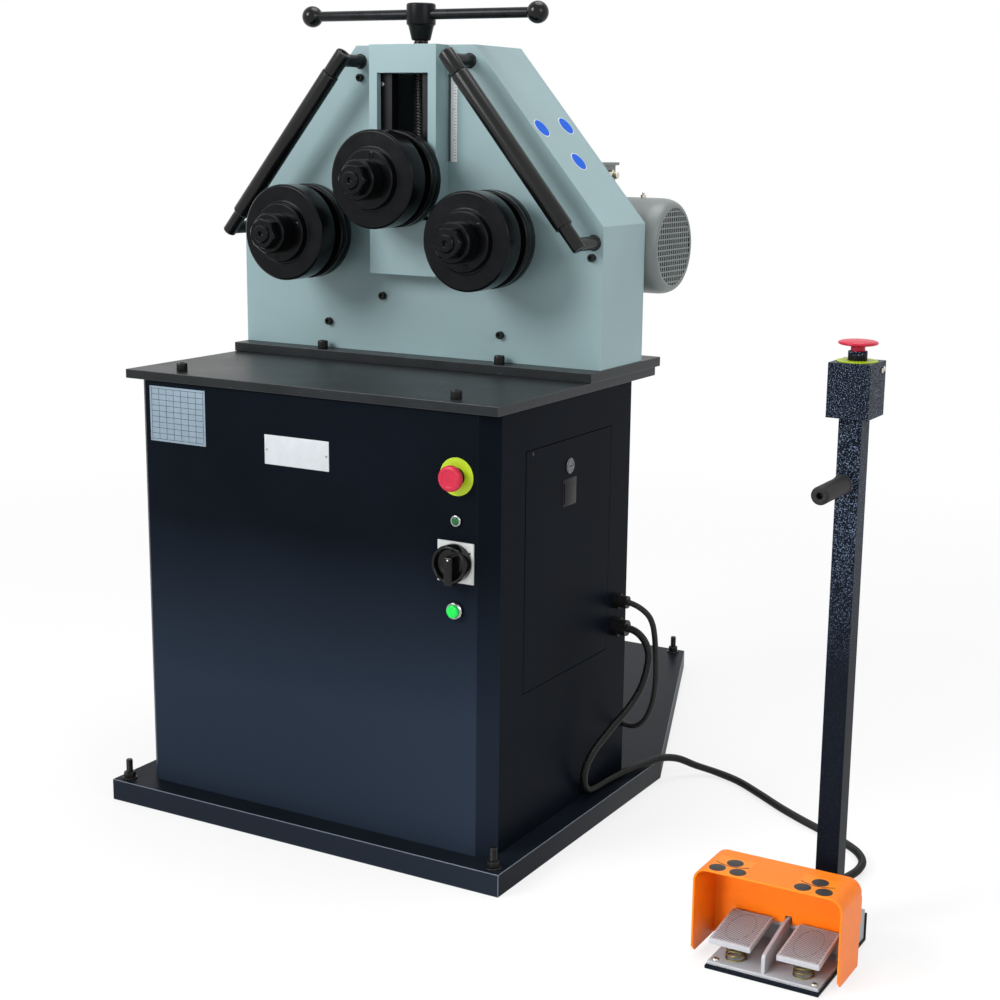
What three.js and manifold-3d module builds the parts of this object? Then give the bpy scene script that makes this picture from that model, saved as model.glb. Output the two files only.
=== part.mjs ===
// A three-roll ring roller on its cabinet, with a foot switch and a post that carries an emergency stop.
// Millimetres. The front faces -Y, +X is to the right, the floor is z = 0.
// The origin lies on the floor under the middle of the cabinet.
import * as THREE from "three";
import { mergeVertices } from "three/addons/utils/BufferGeometryUtils.js";
import Module from "manifold-3d";

const wasm = await Module();
wasm.setup();

// Values that serve every piece
const overrun = 2;
const gap = 0.3;
const cableClearance = 0.6;
const fineSteps = 28;
const roundSteps = 20;
const smallSteps = 14;
const boltSteps = 8;
const cornerSteps = 5;
const cableSides = 8;
const arcDivisionsPerStep = 8;
const hexSides = 6;

// Base tray: a folded steel tray with a tapered tail, open underneath, with cross ribs
const base = { height: 37, sheet: 5, sideMargin: 40, frontMargin: 42, shoulderMargin: 81, tailLength: 636,
  tailWidth: 296, ribWidth: 60 };

// Cabinet: a welded sheet box whose two front corners are cut off at 45 degrees
const cabinet = { width: 696, depth: 464, height: 701, sheet: 3, cornerCut: 26 };

// Table plate, and the plate that the head is bolted down with
const table = { thickness: 15, sideOverhang: 11, frontOverhang: 5, rearOverhang: 70 };
const headPlate = { thickness: 16, sideOverhang: 3, setback: 291, rearOverhang: 13 };

// Head: a five-sided box, open at the back, with a raised column in front for the slide
const head = { sideInset: 2, topWidth: 234, sideHeight: 232, height: 517, depth: 150, setback: 36, wall: 12,
  frontWall: 20, rearCover: 4 };
const travelSlot = { width: 6, topDrop: 47, length: 142 };
const column = { width: 132, proud: 37, bottomRise: 139, sideWall: 12, frontWall: 12, windowWidth: 100,
  windowTopDrop: 46, windowBottomRise: 232 };

// Rolls: two driven ones below, and a pressing roll above that is carried by the slide
const roll = { diameter: 160, spread: 359, rise: 207, upperRise: 92.5, columnClearance: 4,
  frontThickness: 41, rearThickness: 29, neckThickness: 19, neckDiameter: 124, edge: 2.5 };
const shaft = { diameter: 40, noseDiameter: 30, noseReach: 61, centreHole: 8, centreDepth: 7, noseEdge: 2 };
const collar = { diameter: 98, thickness: 11, stepDiameter: 66, stepThickness: 30.6 };
const nut = { acrossFlats: 46, thickness: 15.4, chamfer: 3 };

// Slide, its ways and its screw
const ways = { width: 20, thickness: 20, setback: 3, crossHeight: 10 };
const slide = { rise: 60, drop: 54, bodyHalf: 45, bodyDepth: 60, bossGap: 3 };
const screw = { diameter: 26, setback: 21, seatDepth: 25, nutDiameter: 50, neck: 8 };
const hub = { bottomDiameter: 32, coneDiameter: 43, diameter: 49, coneHeight: 26, height: 34, edge: 2 };
const handle = { diameter: 17, span: 444, ballDiameter: 36, heightInHub: 16 };
const bush = { wall: 8, flangeDiameter: 96, sleeveDiameter: 72, reach: 18, faceGap: 3 };

// Gear train inside the head
const gears = { module: 8, pinionTeeth: 19, rollTeeth: 32, thickness: 26, setback: 68, addendumShare: 0.85,
  dedendumShare: 1.15, rootWidthShare: 0.56, tipWidthShare: 0.2 };

// Worm gearbox and motor behind the head
const gearbox = { centreDistance: 79, wheelDiameter: 156, wormDiameter: 100, wormHalf: 85,
  flangeDiameter: 170, flangeThickness: 8, axisSetback: 86, rearReach: 66, shaftDiameter: 35,
  plugAcrossFlats: 17, plugHeight: 9 };
const motor = { flangeDiameter: 150, flangeThickness: 12, bodyDiameter: 138, finHeight: 7, finShare: 0.4,
  fins: 16, bodyLength: 196, boxWidth: 80, boxLength: 84, boxHeight: 70, boxLid: 5, boxInset: 40,
  shaftSink: 8, shaftDiameter: 20 };
const fanCover = { diameter: 163, wall: 2.5, length: 96, shoulderLength: 28, shoulderDrop: 13, overlap: 14,
  grilleRadius: 66, slotWidth: 20, slotHeight: 8, pitchAcross: 26, pitchUp: 14 };
const fan = { diameter: 142, hubDiameter: 38, thickness: 24, blades: 7, bladeThickness: 3, backThickness: 3,
  endGap: 16 };

// Bars in front of the head's two slopes, each held off the face by two arms
const guide = { upperInset: 9, upperDrop: 26, lowerInset: 17, lowerRise: 206, standoff: 61, barDiameter: 30,
  sleeveDiameter: 27, sleeveUp: 15, sleeveDown: 28, endDiameter: 23, endUp: 34, endDown: 10, upperPeg: 21,
  lowerPeg: 22, socketDiameter: 11, socketDepth: 5 };

// Controls on the cabinet's front
const controls = { sideInset: 63.5, stopDrop: 98, lampDrop: 166, switchDrop: 230, startDrop: 306 };
const stop = { discDiameter: 59, discThickness: 1.5, collarDiameter: 29, collarLength: 5, capDiameter: 40,
  capThickness: 12, capCrown: 3, stemDiameter: 18, stemGap: 6, stemInside: 12 };
const lamp = { diameter: 18, lensDiameter: 12, bezelHeight: 4, lensHeight: 7, bodyDiameter: 14,
  bodyLength: 30 };
const selector = { plate: 64, plateThickness: 3, discDiameter: 60, discThickness: 18, gripWidth: 15,
  gripHeight: 5, gripUp: 14, gripDown: 33, spindleDiameter: 12, spindleLength: 24 };
const start = { diameter: 28, bezelHeight: 9, capDiameter: 21, capProud: 5, capDepth: 14, bodyDiameter: 22,
  bodyLength: 32, travel: 4 };

// Access door in the cabinet's right side, and the switchgear behind it
const door = { frontSetback: 101, width: 289, bottomRise: 243, topDrop: 70, sheet: 2, seam: 1.5,
  rimDepth: 11, rimSheet: 2, rimInset: 3 };
const hinge = { inset: 4, setback: 6.5, seam: 2.5, pin: 4, lug: 6 };
const lock = { along: 143, drop: 44, diameter: 20, flange: 26, flangeThickness: 3, inside: 17,
  camLength: 52, camWidth: 12, camThickness: 3, catchHeight: 8 };
const gear = { inset: 60, plateThickness: 3, plateWidth: 230, plateHeight: 330, rows: 2, unitWidth: 45,
  unitHeight: 78, unitDepth: 62, unitPitch: 52, unitsPerRow: 4, rowPitch: 120, railHeight: 7, bracket: 30 };

// Glands and cables on the right side
const gland = { rearInset: 45, upperHeight: 359, lowerHeight: 313, hexLength: 12, domeLength: 14,
  thinHex: 24, thickHex: 30, thread: 10, rearSideInset: 126, rearHeight: 122 };
const thinCable = { diameter: 10, steps: 32 };
const conduit = { diameter: 13.5, ribDepth: 1.1, bore: 6, ribs: 48, plainLength: 14 };

// Pedestal
const pedestal = { clear: 404, width: 169, lead: 553, depth: 201, sheet: 5, flangeHeight: 43 };
const post = { size: 34, wall: 2.5, offset: 19, height: 767.5 };
const grip = { drop: 91.5, rodDiameter: 10, diameter: 26, start: 9, length: 103, hole: 9, holeDepth: 14,
  edge: 3, collar: 30, collarLength: 5 };
const stopBox = { width: 61, depth: 68, height: 77, wall: 2.5 };
const palm = { collarDiameter: 27, collarHeight: 14.5, stemDiameter: 20, stemInside: 24, stemShow: 6,
  capDiameter: 56, capHeight: 10, capEdge: 4 };

// Foot switch
const foot = { inset: 2, baseFrontInset: 5, plate: 4, housingDepth: 28, housingHeight: 95.5,
  housingBack: 52, housingInset: 20, rearBlockHeight: 41, dividerWidth: 5, dividerHeight: 46,
  dividerFrontInset: 2, dividerDepth: 88, lug: 5, entryAcross: 68, entryHeight: 30, entryDepth: 12 };
const hood = { overLeft: 32, overRight: 20, front: 23, depth: 82, height: 137, sheet: 3, round: 20,
  bottom: 6, chamfer: 12, backBottom: 57, rearInset: 12, rearHeight: 108, rearDepth: 42, rearBottom: 50 };
const pedal = { width: 62, inset: 1, frontInset: 1, length: 86, frontTop: 45, rearTop: 56, thickness: 8,
  armWidth: 38, pinBack: 12, pinHeight: 42, pinDiameter: 8, barrel: 15, lipDrop: 1, lipLength: 6 };
const spring = { wire: 2.2, bottomRadius: 11, topRadius: 8, turns: 5, fromFront: 18, wireSides: 5,
  stepsPerTurn: 7 };

// Heights and depths that follow from the sizes above
const cabinetHalf = cabinet.width / 2;
const cabinetFront = -cabinet.depth / 2;
const cabinetRear = cabinet.depth / 2;
const cabinetTop = base.height + cabinet.height;
const tableTop = cabinetTop + table.thickness;
const tableFront = cabinetFront - table.frontOverhang;
const tableRear = cabinetRear + table.rearOverhang;
const tableHalf = cabinetHalf + table.sideOverhang;
const plateTop = tableTop + headPlate.thickness;
const plateFront = tableFront + headPlate.setback;
const plateRear = tableRear + headPlate.rearOverhang;
const plateHalf = tableHalf + headPlate.sideOverhang;
const headFront = plateFront + head.setback;
const headRear = headFront + head.depth;
const headTop = plateTop + head.height;
const columnFront = headFront - column.proud;
const windowTop = headTop - column.windowTopDrop;
const windowBottom = plateTop + column.windowBottomRise;
const rollHeight = plateTop + roll.rise;
const upperHeight = rollHeight + roll.upperRise;
const rollRear = columnFront - roll.columnClearance;
const rollFace = rollRear - roll.rearThickness - roll.neckThickness - roll.frontThickness;
const noseEnd = rollFace - shaft.noseReach;
const screwY = headFront + screw.setback;
const controlX = cabinetHalf - controls.sideInset;
const stopHeight = cabinetTop - controls.stopDrop;
const lampHeight = cabinetTop - controls.lampDrop;
const switchHeight = cabinetTop - controls.switchDrop;
const startHeight = cabinetTop - controls.startDrop;
const doorFront = cabinetFront + door.frontSetback;
const doorBottom = base.height + door.bottomRise;
const glandY = cabinetRear - gland.rearInset;
const rearGlandX = cabinetHalf - gland.rearSideInset;
const pedestalLeft = cabinetHalf + pedestal.clear;
const pedestalFront = cabinetRear - pedestal.lead;

// Materials, coloured as the real finishes
const finish = (color, roughness, metalness) =>
  new THREE.MeshStandardMaterial({ color, roughness, metalness });
const headPaint = finish(0x9db2b4, 0.45, 0.1);
const cabinetPaint = finish(0x1c232b, 0.4, 0.2);
const darkSteel = finish(0x2b2d30, 0.35, 0.8);
const blackOxide = finish(0x141416, 0.3, 0.85);
const groundSteel = finish(0x8c9094, 0.3, 0.95);
const bronze = finish(0xa9793a, 0.4, 0.9);
const blackPlastic = finish(0x0c0c0d, 0.35, 0);
const blackRubber = finish(0x111111, 0.8, 0);
const castAlloy = finish(0xa9abad, 0.45, 0.6);
const castIron = finish(0x4a5054, 0.6, 0.4);
const orangePlastic = finish(0xf08a1a, 0.45, 0);
const redPlastic = finish(0xc8202c, 0.35, 0);
const greenPlastic = finish(0x18a85a, 0.3, 0);
const yellowPlastic = finish(0xe8d820, 0.5, 0);
const greyPlastic = finish(0xc9ccce, 0.5, 0);
const zinc = finish(0xb5b8ba, 0.35, 0.85);
const chrome = finish(0xd8dadc, 0.12, 1);

const machine = new THREE.Group();

// Puts one named piece into the assembly.
function add(name, geometry, material, parent = machine) {
  const mesh = new THREE.Mesh(geometry, material);
  mesh.name = name;
  parent.add(mesh);
  return mesh;
}

// Turns a closed geometry into a solid that can be cut and joined.
function solid(geometry) {
  const bare = geometry.clone();
  bare.deleteAttribute("normal");
  bare.deleteAttribute("uv");
  const merged = mergeVertices(bare);
  const triVerts = new Uint32Array(merged.index.array);
  const vertProperties = new Float32Array(merged.attributes.position.array);
  return new wasm.Manifold(new wasm.Mesh({ numProp: 3, vertProperties, triVerts }));
}

// Turns a solid back into a geometry.
function geometryOf(manifold) {
  const mesh = manifold.getMesh();
  const geometry = new THREE.BufferGeometry();
  geometry.setAttribute("position", new THREE.BufferAttribute(new Float32Array(mesh.vertProperties), 3));
  geometry.setIndex(new THREE.BufferAttribute(new Uint32Array(mesh.triVerts), 1));
  geometry.computeVertexNormals();
  return geometry;
}

// Joins the pieces of the first list and cuts those of the second list out of them.
function build(joined, removed = []) {
  let result = solid(joined[0]);
  for (const piece of joined.slice(1)) result = result.add(solid(piece));
  for (const piece of removed) result = result.subtract(solid(piece));
  return geometryOf(result);
}

// A box between two limits on each axis.
function block([x0, x1], [y0, y1], [z0, z1]) {
  const geometry = new THREE.BoxGeometry(x1 - x0, y1 - y0, z1 - z0);
  return geometry.translate((x0 + x1) / 2, (y0 + y1) / 2, (z0 + z1) / 2);
}

// Turns a geometry made along +Z so that it runs along the named axis.
function alongAxis(geometry, axis) {
  const turn = new THREE.Matrix4();
  if (axis === "x") turn.makeBasis(
    new THREE.Vector3(0, 1, 0), new THREE.Vector3(0, 0, 1), new THREE.Vector3(1, 0, 0));
  if (axis === "y") turn.makeBasis(
    new THREE.Vector3(0, 0, 1), new THREE.Vector3(1, 0, 0), new THREE.Vector3(0, 1, 0));
  return geometry.applyMatrix4(turn);
}

// A round bar along an axis. The centre gives the other two coordinates, in the order x, y, z.
function rod(axis, diameter, from, to, centre, steps = roundSteps) {
  const geometry = new THREE.CylinderGeometry(diameter / 2, diameter / 2, to - from, steps);
  geometry.rotateX(Math.PI / 2).translate(0, 0, (from + to) / 2);
  alongAxis(geometry, axis);
  const [a, b] = centre;
  if (axis === "x") return geometry.translate(0, a, b);
  if (axis === "y") return geometry.translate(a, 0, b);
  return geometry.translate(a, b, 0);
}

// A turned piece. Each profile point is a radius and a place along the axis; it starts and ends on the axis.
function turned(axis, profile, centre, steps = roundSteps) {
  const points = profile.map(([radius, along]) => new THREE.Vector2(radius, along));
  if (THREE.ShapeUtils.area(points) < 0) points.reverse();
  const geometry = new THREE.LatheGeometry(points, steps);
  geometry.rotateX(Math.PI / 2);
  alongAxis(geometry, axis);
  const [a, b] = centre;
  if (axis === "x") return geometry.translate(0, a, b);
  if (axis === "y") return geometry.translate(a, 0, b);
  return geometry.translate(a, b, 0);
}

// An outline extruded between two places on an axis. Along x the outline is in y and z, along y in x and z.
function prism(axis, outline, from, to) {
  const shape = outline instanceof THREE.Shape ? outline
    : new THREE.Shape(outline.map(([a, b]) => new THREE.Vector2(a, b)));
  const geometry = new THREE.ExtrudeGeometry(
    shape, { depth: to - from, bevelEnabled: false, curveSegments: cornerSteps });
  if (axis === "z") return geometry.translate(0, 0, from);
  if (axis === "x") return alongAxis(geometry, "x").translate(from, 0, 0);
  return geometry.rotateX(Math.PI / 2).translate(0, to, 0);
}

// A hexagon, given by its size across flats, with a flat facing each way along the second axis.
function hexOutline(acrossFlats, [a, b]) {
  const radius = acrossFlats / 2 / Math.cos(Math.PI / hexSides);
  return Array.from({ length: hexSides }, (unused, i) => {
    const angle = (i * 2 * Math.PI) / hexSides;
    return [a + radius * Math.cos(angle), b + radius * Math.sin(angle)];
  });
}

// The same outline, moved in by one distance on every side. The corners run counterclockwise.
function inset(outline, distance) {
  const count = outline.length;
  return outline.map((corner, i) => {
    const before = outline[(i + count - 1) % count];
    const after = outline[(i + 1) % count];
    const first = new THREE.Vector2(corner[0] - before[0], corner[1] - before[1]).normalize();
    const second = new THREE.Vector2(after[0] - corner[0], after[1] - corner[1]).normalize();
    const half = first.clone().add(second).normalize();
    const reach = distance / half.dot(first);
    return [corner[0] - half.y * reach, corner[1] + half.x * reach];
  });
}

// Base tray with its ribs
const baseHalf = cabinetHalf + base.sideMargin;
const baseFront = cabinetFront - base.frontMargin;
const baseShoulder = cabinetRear + base.shoulderMargin;
const baseEnd = baseShoulder + base.tailLength;
const baseOutline = [
  [-baseHalf, baseFront], [baseHalf, baseFront], [baseHalf, baseShoulder],
  [base.tailWidth / 2, baseEnd], [-base.tailWidth / 2, baseEnd], [-baseHalf, baseShoulder],
];
const trayHollow = prism("z", inset(baseOutline, base.sheet), -overrun, base.height - base.sheet);
const tray = solid(prism("z", baseOutline, 0, base.height)).subtract(solid(trayHollow));
const ribAt = (y) => block(
  [-baseHalf + base.sheet / 2, baseHalf - base.sheet / 2],
  [y - base.ribWidth / 2, y + base.ribWidth / 2], [0, base.height - base.sheet / 2]);
const tailRib = block([-base.tailWidth / 2, base.tailWidth / 2],
  [baseEnd - base.ribWidth, baseEnd - base.sheet / 2], [0, base.height - base.sheet / 2]);
add("base_tray", geometryOf(tray.add(solid(ribAt(0))).add(solid(tailRib))), cabinetPaint);

// Cabinet shell, open at the top under the table, with the door's opening, control holes and gland holes
const cabinetOutline = [
  [-cabinetHalf + cabinet.cornerCut, cabinetFront], [cabinetHalf - cabinet.cornerCut, cabinetFront],
  [cabinetHalf, cabinetFront + cabinet.cornerCut], [cabinetHalf, cabinetRear],
  [-cabinetHalf, cabinetRear], [-cabinetHalf, cabinetFront + cabinet.cornerCut],
];
const doorRear = doorFront + door.width;
const doorTop = cabinetTop - door.topDrop;
const doorHeight = doorTop - doorBottom;
const doorInner = cabinetHalf - door.sheet;
const hingeX = cabinetHalf - cabinet.sheet - hinge.inset;
const hingeY = doorFront + hinge.setback;
const lockCentre = [doorFront + lock.along, doorTop - lock.drop];
const lockCatch = block(
  [cabinetHalf - lock.inside + lock.camThickness + gap, cabinetHalf - cabinet.sheet / 2],
  [lockCentre[0] - lock.camWidth, lockCentre[0] + lock.camWidth],
  [doorTop + door.seam, doorTop + door.seam + lock.catchHeight]);
const hingeLugs = [doorTop + door.seam, doorBottom - door.seam - hinge.lug].map((z) => block(
  [hingeX - hinge.lug / 2, cabinetHalf - cabinet.sheet / 2], [hingeY - hinge.lug, hingeY + hinge.lug],
    [z, z + hinge.lug]));
const frontHole = (diameter, height) =>
  rod("y", diameter, cabinetFront - overrun, cabinetFront + cabinet.sheet + overrun,
  [controlX, height], smallSteps);
const sideHole = (diameter, height) =>
  rod("x", diameter, cabinetHalf - cabinet.sheet - overrun, cabinetHalf + overrun,
  [glandY, height], smallSteps);
const rearGland = glandPieces("y", cabinetRear, 1, [rearGlandX, gland.rearHeight], gland.thinHex,
  thinCable.diameter + 2 * cableClearance);
add("cabinet_shell", build(
  [
    geometryOf(solid(prism("z", cabinetOutline, base.height, cabinetTop)).subtract(
      solid(prism("z", inset(cabinetOutline, cabinet.sheet), base.height + cabinet.sheet,
        cabinetTop + overrun)))),
    ...rearGland[0],
    ...hingeLugs,
    lockCatch,
  ],
  [
    block([cabinetHalf - cabinet.sheet - overrun, cabinetHalf + overrun],
      [doorFront - hinge.seam, doorRear + door.seam], [doorBottom - door.seam, doorTop + door.seam]),
    rod("z", hinge.pin + 2 * gap, doorBottom - doorHeight, doorTop + doorHeight, [hingeX, hingeY],
      smallSteps),
    frontHole(stop.stemDiameter + 2 * gap, stopHeight),
    frontHole(lamp.bodyDiameter + 2 * gap, lampHeight),
    frontHole(selector.spindleDiameter + 2 * gap, switchHeight),
    frontHole(start.bodyDiameter + 2 * gap, startHeight),
    sideHole(gland.thread + 2 * gap, gland.upperHeight),
    sideHole(gland.thread + 2 * gap, gland.lowerHeight),
    ...rearGland[1],
  ]), cabinetPaint);

// Table plate and the head's plate
add("table_plate", block([-tableHalf, tableHalf], [tableFront, tableRear], [cabinetTop, tableTop]),
  darkSteel);
add("head_plate", block([-plateHalf, plateHalf], [plateFront, plateRear], [tableTop, plateTop]), darkSteel);

// Head housing with its column, the slide's cavity and the seats of the bearings and the screw's nut
const headHalf = plateHalf - head.sideInset;
const headTopHalf = head.topWidth / 2;
const headOutline = [
  [-headHalf, plateTop], [headHalf, plateTop], [headHalf, plateTop + head.sideHeight],
  [headTopHalf, headTop], [-headTopHalf, headTop], [-headHalf, plateTop + head.sideHeight],
];
const columnHalf = column.width / 2;
const cavityHalf = columnHalf - column.sideWall;
const nutBlockRear = screwY + cavityHalf;
const lowerXs = [-roll.spread / 2, roll.spread / 2];
const guideUpperX = headTopHalf - guide.upperInset;
const guideLowerX = headHalf - guide.lowerInset;
const pegHoles = [-1, 1].flatMap((side) => [
  rod("y", guide.upperPeg - guide.socketDiameter, headFront - overrun, headFront + head.frontWall / 2,
    [side * guideUpperX, headTop - guide.upperDrop], boltSteps),
  rod("y", guide.lowerPeg - guide.socketDiameter, headFront - overrun, headFront + head.frontWall / 2,
    [side * guideLowerX, plateTop + guide.lowerRise], boltSteps),
]);
add("head_housing", build(
  [
    geometryOf(solid(prism("y", headOutline, headFront, headRear)).subtract(
      solid(prism("y", inset(headOutline, head.wall), headFront + head.frontWall, headRear + overrun)))),
    block([-columnHalf, columnHalf], [columnFront, headFront + head.frontWall / 2],
      [plateTop + column.bottomRise, headTop]),
    block([-cavityHalf, cavityHalf], [headFront, nutBlockRear], [windowTop, headTop - head.wall / 2]),
  ],
  [
    block([-cavityHalf, cavityHalf], [columnFront + column.frontWall, headFront + head.frontWall + overrun],
      [windowBottom - column.sideWall, windowTop]),
    block([-column.windowWidth / 2, column.windowWidth / 2],
      [columnFront - overrun, columnFront + column.frontWall + overrun],
      [windowBottom, windowTop]),
    rod("z", screw.nutDiameter + 2 * gap, windowTop - overrun, headTop + overrun, [0, screwY]),
    ...lowerXs.map((x) =>
      rod("y", bush.sleeveDiameter + 2 * gap, headFront - overrun, headFront + head.frontWall + overrun,
      [x, rollHeight])),
    block([columnHalf, columnHalf + travelSlot.width],
      [headFront - overrun, headFront + head.frontWall + overrun],
      [headTop - travelSlot.topDrop - travelSlot.length, headTop - travelSlot.topDrop]),
    ...pegHoles,
  ]), headPaint);

// Rear cover of the head, with the hole for the gearbox shaft
const gearDistance = (gears.module * (gears.pinionTeeth + gears.rollTeeth)) / 2;
const pinionHeight = rollHeight - Math.sqrt(gearDistance ** 2 - (roll.spread / 2) ** 2);
add("head_rear_cover", build(
  [prism("y", headOutline, headRear, headRear + head.rearCover)],
  [rod("y", gearbox.shaftDiameter + 2 * gap, headRear - overrun, headRear + head.rearCover + overrun,
    [0, pinionHeight])]),
headPaint);

// Ways on both sides of the window, joined across the bottom
const wayFront = columnFront + column.frontWall + ways.setback;
const wayRear = wayFront + ways.thickness;
const wayInner = column.windowWidth / 2 - ways.width;
const wayOuter = cavityHalf - gap;
const wayBottom = windowBottom - column.sideWall + gap;
add("slide_ways", build(
  [block([-wayOuter, wayOuter], [wayFront, wayRear], [wayBottom, windowTop - gap])],
  [block([-wayInner, wayInner], [wayFront - overrun, wayRear + overrun],
    [wayBottom + ways.crossHeight, windowTop + overrun])]), darkSteel);

// Slide block: a body behind the ways, a tongue between them and a boss behind the upper roll
const slideBottom = upperHeight - slide.drop;
const slideTop = upperHeight + slide.rise;
const bodyFront = wayRear + gap;
const bodyRear = bodyFront + slide.bodyDepth;
const tongueHalf = wayInner - gap;
const shaftHole = shaft.diameter + 2 * gap;
add("slide_block", build(
  [
    block([-slide.bodyHalf, slide.bodyHalf], [bodyFront, bodyRear], [slideBottom, slideTop]),
    block([-tongueHalf, tongueHalf], [wayFront, bodyFront + overrun], [slideBottom, slideTop]),
    rod("y", shaft.diameter + 2 * bush.wall, rollRear + slide.bossGap, bodyFront + overrun,
      [0, upperHeight]),
  ],
  [
    rod("y", shaftHole, rollRear, bodyRear + overrun, [0, upperHeight]),
    rod("z", screw.diameter + 2 * gap, slideTop - screw.seatDepth, slideTop + overrun, [0, screwY]),
  ]), groundSteel);

// Bronze nut of the screw, seated in the top of the head
add("screw_nut", build(
  [rod("z", screw.nutDiameter, windowTop + gap, headTop, [0, screwY])],
  [rod("z", screw.diameter + 2 * gap, windowTop - overrun, headTop + overrun, [0, screwY])]), bronze);

// Screw, hub and T-handle
const hubBottom = headTop + screw.neck;
const hubTop = hubBottom + hub.coneHeight + hub.height;
const handleHeight = hubBottom + hub.coneHeight + handle.heightInHub;
add("lead_screw", build(
  [
    rod("z", screw.diameter, slideTop - screw.seatDepth + gap, hubTop - hub.height, [0, screwY]),
    turned("z", [
      [0, hubBottom], [hub.bottomDiameter / 2, hubBottom],
        [hub.coneDiameter / 2, hubBottom + hub.coneHeight],
      [hub.diameter / 2, hubBottom + hub.coneHeight + hub.edge], [hub.diameter / 2, hubTop - hub.edge],
      [hub.diameter / 2 - hub.edge, hubTop], [0, hubTop],
    ], [0, screwY]),
  ],
  [rod("x", handle.diameter + 2 * gap, -hub.diameter, hub.diameter, [screwY, handleHeight])]), blackOxide);

// Handle bar with a ball on each end
const ballAt = (x) => new THREE.SphereGeometry(handle.ballDiameter / 2, smallSteps, boltSteps)
  .translate(x, screwY, handleHeight);
add("handle_bar", build([
  rod("x", handle.diameter, -handle.span / 2, handle.span / 2, [screwY, handleHeight], smallSteps),
  ballAt(-handle.span / 2),
  ballAt(handle.span / 2),
]), blackOxide);

// One roll set: shaft, two discs, locking collar and nut
function rollSet(name, x, z, shaftRear) {
  const set = new THREE.Group();
  set.position.set(x, 0, z);
  machine.add(set);
  const centre = [0, 0];
  const bore = shaft.diameter + 2 * gap;
  const noseBore = shaft.noseDiameter + 2 * gap;
  const radius = roll.diameter / 2;
  const frontRear = rollFace + roll.frontThickness;
  const rearFront = frontRear + roll.neckThickness;
  const collarFace = rollFace - collar.thickness;
  const stepFace = collarFace - collar.stepThickness;
  const nutFace = stepFace - nut.thickness;
  const shoulder = rollFace + gap;

  add(`${name}_shaft`, build(
    [turned("y", [
      [0, shaftRear], [shaft.diameter / 2, shaftRear], [shaft.diameter / 2, shoulder],
      [shaft.noseDiameter / 2, shoulder], [shaft.noseDiameter / 2, noseEnd + shaft.noseEdge],
      [shaft.noseDiameter / 2 - shaft.noseEdge, noseEnd], [0, noseEnd],
    ], centre)],
    [turned("y", [[0, noseEnd - overrun], [shaft.centreHole / 2, noseEnd - overrun],
      [shaft.centreHole / 2, noseEnd], [0, noseEnd + shaft.centreDepth]], centre, smallSteps)]),
        blackOxide, set);

  add(`${name}_front_disc`, build(
    [turned("y", [
      [0, rollFace], [radius - roll.edge, rollFace], [radius, rollFace + roll.edge],
      [radius, frontRear - roll.edge], [radius - roll.edge, frontRear], [0, frontRear],
    ], centre, fineSteps)],
    [rod("y", bore, rollFace - overrun, frontRear + overrun, centre)]), blackOxide, set);

  add(`${name}_rear_disc`, build(
    [turned("y", [
      [0, frontRear], [roll.neckDiameter / 2, frontRear], [roll.neckDiameter / 2, rearFront],
      [radius - roll.edge, rearFront], [radius, rearFront + roll.edge], [radius, rollRear - roll.edge],
        [radius - roll.edge, rollRear], [0, rollRear],
    ], centre, fineSteps)],
    [rod("y", bore, frontRear - overrun, rollRear + overrun, centre)]), blackOxide, set);

  const corner = nut.acrossFlats / 2 / Math.cos(Math.PI / hexSides);
  const hexBar = prism("y", hexOutline(nut.acrossFlats, centre), nutFace, stepFace + overrun);
  const nutCone = turned("y", [
    [0, nutFace], [corner - nut.chamfer, nutFace], [corner, nutFace + nut.chamfer / 2],
    [corner, stepFace + overrun], [0, stepFace + overrun],
  ], centre);
  add(`${name}_nut`, build(
    [
      turned("y", [
        [0, rollFace], [collar.diameter / 2, rollFace], [collar.diameter / 2, collarFace + roll.edge / 2],
        [collar.diameter / 2 - roll.edge / 2, collarFace],
          [collar.stepDiameter / 2 + roll.edge, collarFace],
        [collar.stepDiameter / 2, stepFace], [0, stepFace],
      ], centre),
      geometryOf(solid(hexBar).intersect(solid(nutCone))),
    ],
    [rod("y", noseBore, nutFace - overrun, rollFace + overrun, centre)]), blackOxide, set);
}

const shaftRear = headRear - head.wall;
rollSet("left_roll", lowerXs[0], rollHeight, shaftRear);
rollSet("right_roll", lowerXs[1], rollHeight, shaftRear);
rollSet("upper_roll", 0, upperHeight, bodyRear);

// Bearing housings of the lower shafts
const bushRear = headFront + head.frontWall + bush.reach;
for (const [name, x] of [["left_bearing", lowerXs[0]], ["right_bearing", lowerXs[1]]]) {
  add(name, build(
    [
      rod("y", bush.flangeDiameter, rollRear + bush.faceGap, headFront, [x, rollHeight]),
      rod("y", bush.sleeveDiameter, headFront - overrun, bushRear, [x, rollHeight]),
    ],
    [rod("y", shaftHole, rollRear, bushRear + overrun, [x, rollHeight])]), castIron);
}

// Gear outline with plain tapered teeth. The phase turns the first tooth from the +X direction.
function gearOutline(teeth, phase) {
  const pitchRadius = (gears.module * teeth) / 2;
  const tip = pitchRadius + gears.module * gears.addendumShare;
  const root = pitchRadius - gears.module * gears.dedendumShare;
  const pitchAngle = (2 * Math.PI) / teeth;
  const points = [];
  for (let i = 0; i < teeth; i += 1) {
    const middle = phase + i * pitchAngle;
    const at = (radius, share) => {
      const angle = middle + (share * pitchAngle) / 2;
      points.push([radius * Math.cos(angle), radius * Math.sin(angle)]);
    };
    at(root, -gears.rootWidthShare);
    at(tip, -gears.tipWidthShare);
    at(tip, gears.tipWidthShare);
    at(root, gears.rootWidthShare);
  }
  return points;
}

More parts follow.
